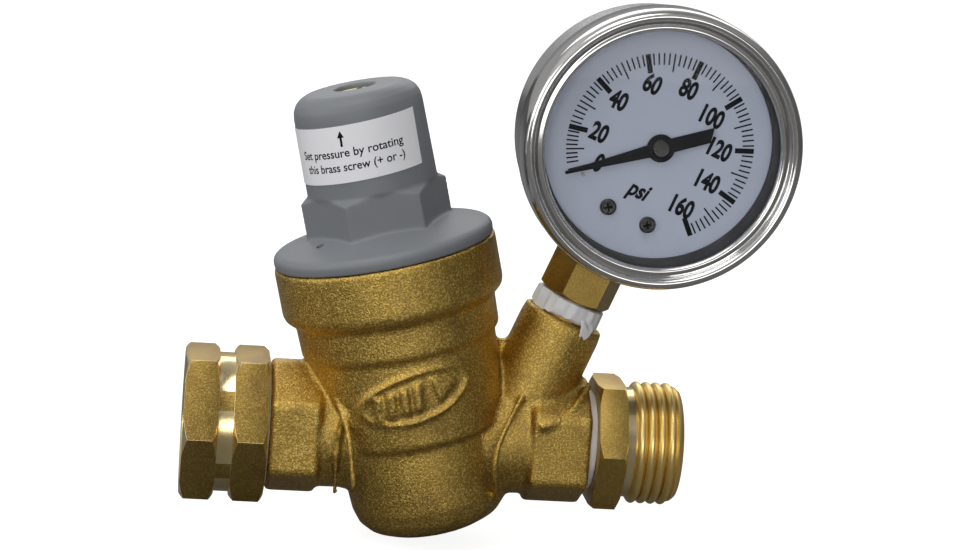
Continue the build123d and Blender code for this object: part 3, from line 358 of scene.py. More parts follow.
def ridge(name, points, radius):
    """A raised forging line: a round bar swept along a short bent path."""
    put_away()
    line = bpy.data.curves.new(name, "CURVE")
    line.dimensions = "3D"
    spline = line.splines.new("NURBS")
    spline.points.add(len(points) - 1)
    for point, spot in zip(spline.points, points):
        point.co = (spot[0] * mm, spot[1] * mm, spot[2] * mm, 1)
    spline.order_u = 3
    spline.use_endpoint_u = True
    line.bevel_depth = radius * mm
    line.bevel_resolution = 2
    line.use_fill_caps = True
    bar = bpy.data.objects.new(name, line)
    bpy.context.scene.collection.objects.link(bar)
    bar.select_set(True)
    bpy.context.view_layer.objects.active = bar
    bpy.ops.object.convert(target="MESH")
    bar = bpy.context.object
    bar.data.transform(Matrix.Translation(crossing))
    return bar


web = begin("cube", size=1.0)
web.scale = (10.0 * mm, 2.6 * mm, 17.0 * mm)
place(web, Matrix.Translation(stem_foot + Vector((0, 0, 13.3 * mm))))
inlet_ridge = ridge(
    "inlet_ridge",
    [
        (-22.5, -2.0, 14.8), (-20.5, -9.5, 11.0), (-17.2, -14.6, 5.6), (-15.6, -16.6, -1.0),
        (-14.6, -16.6, -9.0),
    ],
    0.75,
)
inlet_ridge_fork = ridge(
    "inlet_ridge_fork",
    [(-17.6, -13.8, 6.4), (-18.4, -13.5, 2.0), (-18.6, -13.0, -6.0), (-18.0, -10.5, -12.0)],
    0.6,
)
outlet_ridge = ridge(
    "outlet_ridge",
    [(21.0, -9.0, 11.0), (17.0, -14.6, 4.8), (15.4, -15.6, 0.0), (15.6, -15.2, -6.0), (17.2, -11.6, -11.6)],
    0.75,
)
boss_ridge = ridge(
    "boss_ridge",
    [(25.0, -13.4, 5.6), (29.0, -12.9, 6.6), (33.0, -10.0, 9.6), (36.0, -5.0, 13.4)],
    0.8,
)
bowl_radius = 20.0
mark_on_front = on_stack @ Matrix.Translation((0.0, -(bowl_radius + 0.5) * mm, 12.6 * mm))
mark_on_front = mark_on_front @ Matrix.Rotation(radians(93), 4, "X") @ Matrix.Rotation(radians(10), 4, "Z")


def wrapped_mark(piece):
    """Lays a flat raised mark on the round front of the bowl."""
    for vertex in piece.data.vertices:
        vertex.co.z -= bowl_radius * mm - sqrt((bowl_radius * mm) ** 2 - vertex.co.x**2)
    return place(piece, mark_on_front)


# A raised oval round a row of four slanted bars, an arrow along the flow and a small ring.
mark_oval = begin("torus", major_radius=7.0 * mm, minor_radius=0.5 * mm, major_segments=96, minor_segments=10)
mark_oval.scale = (1.72, 0.72, 1.5)
place(mark_oval, Matrix.Identity(4))
wrapped_mark(mark_oval)
mark_arrow = begin("cone", vertices=3, radius1=3.4 * mm, radius2=3.0 * mm, depth=1.7 * mm)
mark_arrow.location = (6.2 * mm, 0, 0)
mark_arrow.rotation_euler = (0, 0, radians(-90))
place(mark_arrow, Matrix.Identity(4))
wrapped_mark(mark_arrow)
mark_bars = []
bar_slant = 14
for bar_place in (-8.4, -5.4, -2.4, 0.6):
    mark_bar = begin("cube", size=1.0)
    mark_bar.scale = (1.5 * mm, 5.4 * mm, 1.7 * mm)
    mark_bar.location = (bar_place * mm, 0, 0)
    mark_bar.rotation_euler = (0, 0, radians(-bar_slant))
    place(mark_bar, Matrix.Identity(4))
    mark_bars.append(wrapped_mark(mark_bar))
mark_dot = begin("torus", major_radius=1.0 * mm, minor_radius=0.4 * mm, major_segments=24, minor_segments=8)
mark_dot.location = (12.4 * mm, 4.6 * mm, 0)
place(mark_dot, Matrix.Identity(4))
wrapped_mark(mark_dot)

forged_body = joined(
    "forged_body",
    [
        bowl, inlet_neck, outlet_neck, inlet_waist, outlet_waist, gauge_boss, web, inlet_ridge,
        inlet_ridge_fork, outlet_ridge, boss_ridge, mark_oval, mark_arrow, *mark_bars, mark_dot,
    ],
)
apply(forged_body, "REMESH", mode="VOXEL", voxel_size=0.50 * mm)
apply(forged_body, "SMOOTH", factor=0.5, iterations=4)


def bored(piece, radius, start, length, matrix):
    """Cuts a round hole into a piece."""
    drill = round_bar(radius, start, length, matrix, 64)
    apply(piece, "BOOLEAN", object=drill, operation="DIFFERENCE", solver="FAST")
    bpy.data.objects.remove(drill)


way_radius = 7.0
pipe_thread_radius = 10.4
stem_thread_radius = 6.6
bored(forged_body, way_radius, -40.0, 38.0, on_pipe)
bored(forged_body, pipe_thread_radius, -40.0, 18.5, on_pipe)
bored(forged_body, way_radius, 13.5, 40.0, on_pipe)
bored(forged_body, pipe_thread_radius, 25.0, 20.0, on_pipe)
bored(forged_body, stem_thread_radius, 19.5, 20.0, on_stem)
smooth(forged_body, 40)
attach(forged_body, "valve_body")
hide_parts("body")


def shader(material):
    return material.node_tree.nodes["Principled BSDF"]


def effect_group(name, inputs, outputs):
    """An empty shader node group with named sockets; an input whose value is a tuple is a vector."""
    group = bpy.data.node_groups.new(name, "ShaderNodeTree")
    for socket, value in inputs:
        kind = "NodeSocketVector" if isinstance(value, tuple) else "NodeSocketFloat"
        made = group.interface.new_socket(name=socket, in_out="INPUT", socket_type=kind)
        made.default_value = value
    for socket in outputs:
        group.interface.new_socket(name=socket, in_out="OUTPUT", socket_type="NodeSocketFloat")
    return group


def noise(nodes, detail, **more):
    """A noise texture with its detail and any other inputs set."""
    texture = nodes.new("ShaderNodeTexNoise")
    texture.inputs["Detail"].default_value = detail
    for socket, value in more.items():
        texture.inputs[socket].default_value = value
    return texture


def band_of(nodes, low, high):
    """A black to white ramp between two levels."""
    ramp = nodes.new("ShaderNodeValToRGB")
    ramp.color_ramp.elements[0].position = low
    ramp.color_ramp.elements[1].position = high
    return ramp


def two_colours(nodes, first, second):
    """A mix of two colours."""
    mix = nodes.new("ShaderNodeMix")
    mix.data_type = "RGBA"
    if first:
        mix.inputs["A"].default_value = (*first, 1)
    mix.inputs["B"].default_value = (*second, 1)
    return mix


def uneven_gloss(material, low, high, source):
    """Lets a mask move the roughness between two values."""
    tree = material.node_tree
    gloss = tree.nodes.new("ShaderNodeMapRange")
    gloss.inputs["To Min"].default_value = low
    gloss.inputs["To Max"].default_value = high
    tree.links.new(source, gloss.inputs["Value"])
    tree.links.new(gloss.outputs["Result"], shader(material).inputs["Roughness"])


def uneven_surface(material, strength, depth, source):
    """Lets a height tilt the surface by bump."""
    tree = material.node_tree
    bump = tree.nodes.new("ShaderNodeBump")
    bump.inputs["Strength"].default_value = strength
    bump.inputs["Distance"].default_value = depth
    tree.links.new(source, bump.inputs["Height"])
    tree.links.new(bump.outputs["Normal"], shader(material).inputs["Normal"])


def new_material(name, roughness, metallic):
    material = bpy.data.materials.new(name)
    material.use_nodes = True
    shader(material).inputs["Roughness"].default_value = roughness
    shader(material).inputs["Metallic"].default_value = metallic
    return material


def blasted_group():
    """Shot-blasted grain: height for a bump, a fleck mask, and a slow mask for handling stains."""
    group = effect_group(
        "blasted_grain",
        [("Grain Size", 2600.0), ("Stain Size", 120.0)],
        ("Height", "Fleck", "Stain"),
    )
    nodes, links = group.nodes, group.links
    given = nodes.new("NodeGroupInput")
    result = nodes.new("NodeGroupOutput")
    where = nodes.new("ShaderNodeTexCoord")
    fine = noise(nodes, 3.0, Roughness=0.65)
    dents = nodes.new("ShaderNodeTexVoronoi")
    dents.feature = "F1"
    add = nodes.new("ShaderNodeMath")
    add.operation = "MULTIPLY_ADD"
    add.inputs[1].default_value = 0.55
    stain = noise(nodes, 5.0, Roughness=0.62)
    stain_edge = band_of(nodes, 0.52, 0.74)
    fleck = noise(nodes, 1.0)
    fleck_scale = nodes.new("ShaderNodeMath")
    fleck_scale.operation = "MULTIPLY"
    fleck_scale.inputs[1].default_value = 0.8
    fleck_edge = band_of(nodes, 0.45, 0.70)
    for node in (fine, dents, stain, fleck):
        links.new(where.outputs["Object"], node.inputs["Vector"])
    links.new(given.outputs["Grain Size"], fine.inputs["Scale"])
    links.new(given.outputs["Grain Size"], dents.inputs["Scale"])
    links.new(given.outputs["Grain Size"], fleck_scale.inputs[0])
    links.new(fleck_scale.outputs[0], fleck.inputs["Scale"])
    links.new(given.outputs["Stain Size"], stain.inputs["Scale"])
    links.new(dents.outputs["Distance"], add.inputs[0])
    links.new(fine.outputs["Fac"], add.inputs[2])
    links.new(add.outputs[0], result.inputs["Height"])
    links.new(fleck.outputs["Fac"], fleck_edge.inputs[0])
    links.new(fleck_edge.outputs["Color"], result.inputs["Fleck"])
    links.new(stain.outputs["Fac"], stain_edge.inputs[0])
    links.new(stain_edge.outputs["Color"], result.inputs["Stain"])
    return group


blasted_grain = blasted_group()


def blasted_brass(name, light, dark, stained, roughness, grain, bump):
    """Matte forged brass: two close golds in the grain, brown handling stains and a fine dented surface."""
    material = new_material(name, roughness, 1.0)
    nodes, links = material.node_tree.nodes, material.node_tree.links
    effect = nodes.new("ShaderNodeGroup")
    effect.node_tree = blasted_grain
    effect.inputs["Grain Size"].default_value = grain
    flecks = two_colours(nodes, dark, light)
    stains = two_colours(nodes, None, stained)
    stain_amount = nodes.new("ShaderNodeMath")
    stain_amount.operation = "MULTIPLY"
    stain_amount.inputs[1].default_value = 0.55
    links.new(effect.outputs["Fleck"], flecks.inputs["Factor"])
    links.new(flecks.outputs["Result"], stains.inputs["A"])
    links.new(effect.outputs["Stain"], stain_amount.inputs[0])
    links.new(stain_amount.outputs[0], stains.inputs["Factor"])
    links.new(stains.outputs["Result"], shader(material).inputs["Base Color"])
    uneven_gloss(material, roughness - 0.08, roughness + 0.10, effect.outputs["Fleck"])
    uneven_surface(material, bump, 0.12 * mm, effect.outputs["Height"])
    return material


def finish_in(piece, material):
    piece.data.materials.clear()
    piece.data.materials.append(material)


forged_brass = blasted_brass(
    "forged_brass", (0.90, 0.64, 0.19), (0.43, 0.275, 0.058), (0.22, 0.12, 0.045), 0.38, 3300.0, 0.95
)
finish_in(forged_body, forged_brass)


def on_body(piece, material, slot, *nodes):
    """The usual last steps for a piece that stays with the body."""
    finish_in(piece, material)
    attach(piece, "valve_body")
    if nodes:
        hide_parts(*nodes)
    return piece


def hexagon(name, flats, start, length, matrix, low_lift, high_lift, turn=30):
    """Hexagon bar with its corners turned away at both ends; a lift of 0 leaves an end square."""
    corner = flats / sqrt(3)
    bar = begin("cylinder", vertices=6, radius=corner * mm, depth=length * mm)
    bar.name = name
    bar.rotation_euler = (0, 0, radians(turn))
    bar.location = (0, 0, (start + length / 2) * mm)
    place(bar, Matrix.Identity(4))
    outer = corner + 0.2
    rings = [(0, start - 0.01)]
    rings += [(outer - low_lift * 1.9, start - 0.01), (outer, start + low_lift)]
    rings += [(outer, start + length - high_lift), (outer - high_lift * 1.9, start + length + 0.01)]
    rings += [(0, start + length + 0.01)]
    envelope = turned("envelope", rings, Matrix.Identity(4), 128)
    apply(bar, "BOOLEAN", object=envelope, operation="INTERSECT", solver="EXACT")
    bpy.data.objects.remove(envelope)
    return place(bar, matrix)


def united(name, first, others):
    """Welds closed pieces into one closed piece."""
    for other in others:
        apply(first, "BOOLEAN", object=other, operation="UNION", solver="EXACT")
        bpy.data.objects.remove(other)
    first.name = name
    return first


def softened(piece, width, angle=28, segments=2):
    """Breaks the sharp edges by a small bevel, then shades the rest smooth."""
    apply(
        piece,
        "BEVEL",
        width=width * mm,
        segments=segments,
        limit_method="ANGLE",
        angle_limit=radians(angle),
        use_clamp_overlap=True,
    )
    smooth(piece, 30)
    return piece


# ---------------------------------------------------------------- bonnet
# Moulded in grey plastic in one piece: threaded skirt, flange over the rim, wrench hexagon and tapered cap.
# Its corners are soft from the mould, and a vent hole goes through the flange beside the hexagon.
bonnet = turned(
    "bonnet_moulding",
    [
        (17.95, 34.2), (20.95, 34.2), (20.95, 41.55), (23.85, 41.55), (24.0, 43.2), (23.7, 44.0),
        (22.9, 44.6), (13.6, 47.3), (13.6, 54.8), (14.15, 55.8), (13.95, 72.5), (13.75, 74.1),
        (13.1, 75.5), (12.0, 76.5), (10.6, 77.15), (8.8, 77.4),
        (4.45, 77.4), (4.45, 71.3), (4.3, 71.3), (4.3, 69.7), (6.8, 69.7),
        (6.8, 68.8), (11.6, 68.8), (11.6, 46.5), (17.95, 40.5), (17.95, 34.2),
    ],
    on_stack,
)
bonnet_hex = hexagon("bonnet_hex", 27.8, 44.5, 11.2, on_stack, 0.0, 1.3, 34)
bored(bonnet_hex, 12.5, 40.0, 20.0, on_stack)
joined("bonnet_moulding", [bonnet, bonnet_hex])
apply(bonnet, "REMESH", mode="VOXEL", voxel_size=0.34 * mm)
apply(bonnet, "SMOOTH", factor=0.5, iterations=4)
vent_spot = Matrix.Rotation(radians(-146), 4, "Z") @ Matrix.Translation((16.4 * mm, 0, 0))
vent = round_bar(0.9, 40.0, 9.0, on_stack @ vent_spot, 32)
apply(bonnet, "BOOLEAN", object=vent, operation="DIFFERENCE", solver="EXACT")
bpy.data.objects.remove(vent)
smooth(bonnet, 45)


def haze_group():
    """Slow and fine noise for colour, gloss and a faint unevenness of a moulded or painted surface."""
    group = effect_group(
        "surface_haze",
        [("Fine Size", 1500.0), ("Slow Size", 60.0)],
        ("Height", "Fine", "Slow"),
    )
    nodes, links = group.nodes, group.links
    given = nodes.new("NodeGroupInput")
    result = nodes.new("NodeGroupOutput")
    where = nodes.new("ShaderNodeTexCoord")
    fine = noise(nodes, 4.0)
    slow = noise(nodes, 3.0)
    both = nodes.new("ShaderNodeMath")
    both.operation = "MULTIPLY_ADD"
    both.inputs[1].default_value = 0.35
    for node in (fine, slow):
        links.new(where.outputs["Object"], node.inputs["Vector"])
    links.new(given.outputs["Fine Size"], fine.inputs["Scale"])
    links.new(given.outputs["Slow Size"], slow.inputs["Scale"])
    links.new(slow.outputs["Fac"], both.inputs[0])
    links.new(fine.outputs["Fac"], both.inputs[2])
    links.new(both.outputs[0], result.inputs["Height"])
    links.new(fine.outputs["Fac"], result.inputs["Fine"])
    links.new(slow.outputs["Fac"], result.inputs["Slow"])
    return group


surface_haze = haze_group()


def hazed(name, dark, light, roughness, metallic, fine, slow, bump, spread=0.08):
    """A finish of two close colours, mixed slowly over the surface, with a fine uneven gloss."""
    material = new_material(name, roughness, metallic)
    nodes, links = material.node_tree.nodes, material.node_tree.links
    effect = nodes.new("ShaderNodeGroup")
    effect.node_tree = surface_haze
    effect.inputs["Fine Size"].default_value = fine
    effect.inputs["Slow Size"].default_value = slow
    colours = two_colours(nodes, dark, light)
    links.new(effect.outputs["Slow"], colours.inputs["Factor"])
    links.new(colours.outputs["Result"], shader(material).inputs["Base Color"])
    uneven_gloss(material, max(roughness - spread, 0.02), roughness + spread, effect.outputs["Fine"])
    uneven_surface(material, bump, 0.05 * mm, effect.outputs["Height"])
    return material


grey_plastic = hazed(
    "grey_plastic", (0.185, 0.197, 0.212), (0.215, 0.228, 0.243), 0.50, 0.0, 1800.0, 90.0, 0.35
)
on_body(bonnet, grey_plastic, "grey_plastic", "bonnet")

# ---------------------------------------------------------------- instruction label
# White printed film, wrapped round the cap from behind on the inlet side to past the front.
label_low = 58.7
label_height = 12.1
label_start = -200.0
label_arc = 159.5
label_tilt = 0.033
printed_radius = 14.1
cap_foot, cap_top = 55.8, 77.4
cap_foot_radius, cap_top_radius = 14.15, 13.85


def cap_radius(height):
    """The cap's taper, followed down past its foot as well."""
    share = (height - cap_foot) / (cap_top - cap_foot)
    return cap_foot_radius + (cap_top_radius - cap_foot_radius) * share


def wrapped(piece, start_angle, foot, proud):
    """Bends a flat piece, drawn in mm-scaled X and Y, round the cap; X is the arc and Y the height."""
    for vertex in piece.data.vertices:
        height = foot + (vertex.co.y + label_tilt * vertex.co.x) / mm
        radius = cap_radius(height) + proud + vertex.co.z / mm
        angle = radians(start_angle) + vertex.co.x / mm / cap_radius(height)
        vertex.co = (radius * cos(angle) * mm, radius * sin(angle) * mm, height * mm)
    return place(piece, on_stack)


label_length = radians(label_arc) * printed_radius
label = begin("grid", x_subdivisions=96, y_subdivisions=12, size=1.0)
label.name = "instruction_label_film"
label.scale = (label_length * mm, label_height * mm, 1)
label.location = (label_length / 2 * mm, label_height / 2 * mm, 0)
place(label, Matrix.Identity(4))
apply(label, "SOLIDIFY", thickness=0.1 * mm, offset=1.0)
wrapped(label, label_start, label_low, 0.04)
smooth(label, 30)
label_film = hazed("label_film", (0.88, 0.88, 0.91), (0.93, 0.93, 0.96), 0.5, 0.0, 900.0, 120.0, 0.15)
on_body(label, label_film, "label_paper", "instruction_label")

black_print = hazed("black_print", (0.004, 0.004, 0.004), (0.008, 0.008, 0.009), 0.7, 0.0, 2500.0, 200.0, 0.2)
shader(black_print).inputs["Specular IOR Level"].default_value = 0.12


def lettering(words, height, squeeze=1.0, weight=0.0, thickness=0.02):
    """Raised print of a few words, centred on its own origin."""
    put_away()
    bpy.ops.object.text_add()
    words_piece = bpy.context.object
    words_piece.data.body = words
    words_piece.data.size = height / 0.73 * mm
    words_piece.data.align_x = "CENTER"
    words_piece.data.align_y = "CENTER"
    words_piece.data.offset = weight * mm
    words_piece.data.extrude = thickness / 2 * mm
    words_piece.data.resolution_u = 6
    bpy.ops.object.convert(target="MESH")
    words_piece = bpy.context.object
    words_piece.scale = (squeeze, 1, 1)
    return place(words_piece, Matrix.Identity(4))


def moved(piece, x, y, z=0.0):
    """Shifts a piece by distances in mm."""
    piece.location = (x * mm, y * mm, z * mm)
    return place(piece, Matrix.Identity(4))


front_arc = radians(-108 - label_start) * printed_radius
arrow_x = front_arc - 1.2
first_line = moved(lettering("Set pressure by rotating", 1.85, 1.0, 0.03), front_arc - 0.2, 6.3)
second_line = moved(lettering("this brass screw (+ or -)", 1.85, 0.95, 0.03), front_arc + 0.4, 3.3)
arrow_shaft = begin("cube", size=1.0)
arrow_shaft.scale = (0.5 * mm, 2.0 * mm, 0.02 * mm)
arrow_shaft.location = (arrow_x * mm, 8.7 * mm, 0)
place(arrow_shaft, Matrix.Identity(4))
arrow_head = begin("cylinder", vertices=3, radius=1.0 * mm, depth=0.02 * mm)
arrow_head.scale = (0.85, 1.0, 1.0)
arrow_head.location = (arrow_x * mm, 10.1 * mm, 0)
place(arrow_head, Matrix.Identity(4))
label_print = joined("instruction_label_print", [first_line, second_line, arrow_shaft, arrow_head])
apply(label_print, "TRIANGULATE")
apply(label_print, "SUBSURF", subdivision_type="SIMPLE", levels=1, render_levels=1)
wrapped(label_print, label_start, label_low, 0.15)
on_body(label_print, black_print, "black_metal")

# ---------------------------------------------------------------- inlet adapter
# Two wrench hexagons of forged brass with a bright turned groove between them, a female hose thread in the
# mouth and a male pipe thread screwed into the inlet neck. The hexagon corners are turned away at each end.
inlet_face = -51.5
adapter_flats = 30.6
adapter_hex_length = 7.4
hose_pitch = 2.209
hose_turns = 4
adapter = united(
    "inlet_adapter_fitting",
    hexagon("adapter", adapter_flats, inlet_face, adapter_hex_length, on_pipe, 1.1, 1.1),
    [
        hexagon("adapter", adapter_flats, inlet_face + 10.7, adapter_hex_length, on_pipe, 1.1, 1.1),
        round_bar(15.1, inlet_face + 5.0, 8.0, on_pipe, 128),
        round_bar(10.35, inlet_face + 17.0, 12.5, on_pipe, 96),
    ],
)
mouth_rings = [(0, inlet_face - 1.0), (14.6, inlet_face - 1.0), (12.75, inlet_face + 1.0)]
for turn_number in range(hose_turns):
    thread_foot = inlet_face + 1.6 + turn_number * hose_pitch
    mouth_rings += [(12.65, thread_foot), (13.5, thread_foot + 0.45), (13.5, thread_foot + 1.0)]
    mouth_rings += [(12.65, thread_foot + 1.45)]
mouth_rings += [(12.65, inlet_face + 11.0), (way_radius, inlet_face + 11.0), (way_radius, -15.0), (0, -15.0)]
mouth = turned("mouth", mouth_rings, on_pipe, 128)
apply(adapter, "BOOLEAN", object=mouth, operation="DIFFERENCE", solver="EXACT")
bpy.data.objects.remove(mouth)
softened(adapter, 0.18)


def lathe_group():
    """Fine rings left by a turning tool; the vector given runs along the turning axis in Z."""
    group = effect_group("lathe_rings", [("Along", (0, 0, 0))], ("Height", "Shine"))
    nodes, links = group.nodes, group.links
    given = nodes.new("NodeGroupInput")
    result = nodes.new("NodeGroupOutput")
    rings = noise(nodes, 4.0, Scale=1.0, Roughness=0.7)
    tarnish = noise(nodes, 4.0, Scale=160.0)
    where = nodes.new("ShaderNodeTexCoord")
    links.new(given.outputs["Along"], rings.inputs["Vector"])
    links.new(where.outputs["Object"], tarnish.inputs["Vector"])
    links.new(rings.outputs["Fac"], result.inputs["Height"])
    links.new(tarnish.outputs["Fac"], result.inputs["Shine"])
    return group


lathe_rings = lathe_group()


def bright_brass(name, axis, light, dark, roughness, bump):
    """Turned brass: tool rings round the axis, and a slow tarnish from pale to deeper gold."""
    material = new_material(name, roughness, 1.0)
    nodes, links = material.node_tree.nodes, material.node_tree.links
    where = nodes.new("ShaderNodeTexCoord")
    along = nodes.new("ShaderNodeMapping")
    along.vector_type = "POINT"
    lean = atan2(axis.x, axis.z)
    along.inputs["Rotation"].default_value = (0, -lean, 0)
    along.inputs["Scale"].default_value = (8.0, 8.0, 8.0)
    stretch = nodes.new("ShaderNodeMapping")
    stretch.inputs["Scale"].default_value = (1.0, 1.0, 550.0)
    effect = nodes.new("ShaderNodeGroup")
    effect.node_tree = lathe_rings
    links.new(where.outputs["Object"], along.inputs["Vector"])
    links.new(along.outputs["Vector"], stretch.inputs["Vector"])
    links.new(stretch.outputs["Vector"], effect.inputs["Along"])
    colours = two_colours(nodes, light, dark)
    tarnish = band_of(nodes, 0.40, 0.72)
    links.new(effect.outputs["Shine"], tarnish.inputs[0])
    links.new(tarnish.outputs["Color"], colours.inputs["Factor"])
    links.new(colours.outputs["Result"], shader(material).inputs["Base Color"])
    uneven_gloss(material, roughness * 0.7, roughness * 1.6, effect.outputs["Shine"])
    uneven_surface(material, bump, 0.03 * mm, effect.outputs["Height"])
    return material


pipe_way = Vector((1, 0, 0))
pale_brass = (0.88, 0.74, 0.44)
deep_brass = (0.80, 0.60, 0.24)
turned_brass_pipe = bright_brass("turned_brass_pipe", pipe_way, pale_brass, deep_brass, 0.16, 0.35)
turned_brass_stack = bright_brass("turned_brass_stack", stack_up, pale_brass, deep_brass, 0.34, 0.35)
turned_brass_stem = bright_brass(
    "turned_brass_stem", stem_up, (0.78, 0.58, 0.22), (0.6, 0.42, 0.14), 0.26, 0.4
)
thread_brass = bright_brass("thread_brass", pipe_way, (0.94, 0.72, 0.30), (0.86, 0.62, 0.20), 0.30, 0.2)
hexagon_brass = blasted_brass(
    "hexagon_brass", (0.62, 0.44, 0.125), (0.46, 0.30, 0.075), (0.22, 0.11, 0.05), 0.36, 3800.0, 0.45
)
# A darker brass for the thread roots: painted shade in the recesses.
painted_shade_thread_root_brass = bright_brass(
    "painted_shade_thread_root_brass", pipe_way, (0.60, 0.40, 0.11), (0.40, 0.25, 0.06), 0.38, 0.3
)
adapter_brass = blasted_brass(
    "adapter_brass", (0.46, 0.32, 0.090), (0.30, 0.195, 0.048), (0.16, 0.08, 0.035), 0.38, 3400.0, 0.5
)


def two_finishes(piece, flats_material, cut_material, is_flat):
    """Gives faces that is_flat picks the rough finish and every other face the turned one."""
    finish_in(piece, flats_material)
    piece.data.materials.append(cut_material)
    for face in piece.data.polygons:
        face.material_index = 0 if is_flat(face) else 1


def on_wrench_flat(face):
    """True for the six flats of a hexagon on the pipe, outside the lathe cuts."""
    middle = face.center - crossing
    reach = sqrt(middle.y**2 + middle.z**2)
    angle = degrees(atan2(face.normal.z, face.normal.y)) % 60
    square = abs(face.normal.x) < 0.05
    return square and reach > 13.3 * mm and min(abs(angle - 30), 60) < 8 and face.area > 0.02 * mm * mm


two_finishes(adapter, adapter_brass, turned_brass_pipe, on_wrench_flat)
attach(adapter, "valve_body")
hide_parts("inlet_adapter")


def dressed(node, material):
    """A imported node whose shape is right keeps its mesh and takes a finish."""
    for place_for_finish in frame["nodes"][node].material_slots:
        place_for_finish.material = material


# ---------------------------------------------------------------- washer and strainer in the mouth
# A moulded rubber washer sits at the bottom of the hose thread. A hat of woven stainless wire is pressed
# into it and stands up almost to the mouth.
black_rubber = hazed("black_rubber", (0.018, 0.018, 0.018), (0.03, 0.03, 0.03), 0.62, 0.0, 2200.0, 150.0, 0.3)
dressed("hose_washer", black_rubber)


def woven_wire(name, wires_per_metre):
    """Square weave of bright round wires over dark gaps, laid across the pipe."""
    material = new_material(name, 0.32, 1.0)
    nodes, links = material.node_tree.nodes, material.node_tree.links
    where = nodes.new("ShaderNodeTexCoord")
    height = nodes.new("ShaderNodeMath")
    height.operation = "MAXIMUM"
    for side, direction in enumerate(("Y", "Z")):
        wires = nodes.new("ShaderNodeTexWave")
        wires.wave_type = "BANDS"
        wires.bands_direction = direction
        wires.wave_profile = "SIN"
        wires.inputs["Scale"].default_value = wires_per_metre / 3.2
        links.new(where.outputs["Object"], wires.inputs["Vector"])
        links.new(wires.outputs["Fac"], height.inputs[side])
    gaps = nodes.new("ShaderNodeValToRGB")
    gaps.color_ramp.elements[0].position = 0.35
    gaps.color_ramp.elements[0].color = (0.05, 0.045, 0.035, 1)
    gaps.color_ramp.elements[1].position = 0.75
    gaps.color_ramp.elements[1].color = (0.62, 0.61, 0.58, 1)
    links.new(height.outputs[0], gaps.inputs[0])
    links.new(gaps.outputs["Color"], shader(material).inputs["Base Color"])
    uneven_surface(material, 0.9, 0.2 * mm, height.outputs[0])
    return material


dressed("inlet_screen", woven_wire("woven_steel_wire", 2600.0))

# ---------------------------------------------------------------- sealing tape
# White PTFE tape on the three pipe threads. It is wound by hand, so its edge is ragged where it shows in the
# gap, and the gauge's tape has a loose tab that hangs over the boss.
sealing_tape = hazed("sealing_tape", (0.80, 0.80, 0.80), (0.88, 0.88, 0.88), 0.5, 0.0, 1600.0, 300.0, 0.8)


def ragged_tape(name, low, high, inner, outer, matrix, raggedness, seed):
    """A closed band of tape whose outside swells and shrinks and whose lower edge runs up and down."""
    waves = random.Random(seed)
    swing = [
        (count, waves.uniform(0.3, 1.0) / sqrt(count), waves.uniform(0, 2 * pi))
        for count in (2, 3, 5, 9, 14, 23)
    ]
    middle = (inner + outer) / 2
    rings = [(inner, low), (middle, low - 0.1), (outer, low + 0.25), (outer, (low + high) / 2)]
    rings += [(outer - 0.1, high - 0.2), (middle, high), (inner, high), (inner, low)]
    band = turned(name, rings, Matrix.Identity(4), 160)
    for vertex in band.data.vertices:
        angle = atan2(vertex.co.y, vertex.co.x)
        radius = sqrt(vertex.co.x**2 + vertex.co.y**2)
        lift = sum(size * sin(count * angle + phase) for count, size, phase in swing)
        outside = (radius / mm - inner) / (outer - inner)
        below = (high - vertex.co.z / mm) / (high - low)
        grow = 1 + outside * raggedness * 0.35 * lift * mm / radius
        vertex.co.x *= grow
        vertex.co.y *= grow
        vertex.co.z += outside * below * raggedness * 0.45 * lift * mm
    return place(band, matrix)


inlet_tape = ragged_tape("inlet_sealing_tape", -33.38, -33.02, 10.5, 13.6, on_pipe, 0.55, 3)
smooth(inlet_tape, 60)
on_body(inlet_tape, sealing_tape, "ptfe", "inlet_tape")
outlet_tape = ragged_tape("outlet_sealing_tape", 36.6, 38.1, 10.4, 10.8, on_pipe, 0.7, 8)
smooth(outlet_tape, 60)
on_body(outlet_tape, sealing_tape, "ptfe", "outlet_tape")
gauge_tape = ragged_tape("gauge_sealing_tape", 29.75, 33.9, 6.6, 8.0, on_stem, 1.7, 5)
# The tab starts on the tape, stands out over the boss and narrows to a ragged end.
tab_size = 3.0
tab_angle = radians(-66)
tab = begin("grid", x_subdivisions=8, y_subdivisions=14, size=1.0)
tab.scale = (tab_size * mm, tab_size * mm, 1)
place(tab, Matrix.Identity(4))
for vertex in tab.data.vertices:
    across_tab = vertex.co.x / mm
    down_tab = 0.5 - vertex.co.y / (tab_size * mm)
    taper = 1 - 0.45 * down_tab**2
    angle = tab_angle + across_tab * taper / 8.4
    radius = 7.9 + 1.75 * min(1.0, down_tab * 2.6) + 0.12 * sin(9 * across_tab)
    height = 31.6 - 3.7 * down_tab - 0.35 * sin(2.4 * across_tab)
    vertex.co = (radius * cos(angle) * mm, radius * sin(angle) * mm, height * mm)
apply(tab, "SOLIDIFY", thickness=0.12 * mm)
apply(tab, "SUBSURF", levels=1, render_levels=1)
place(tab, on_stem)
joined("gauge_sealing_tape", [gauge_tape, tab])
smooth(gauge_tape, 60)
on_body(gauge_tape, sealing_tape, "ptfe", "gauge_tape")

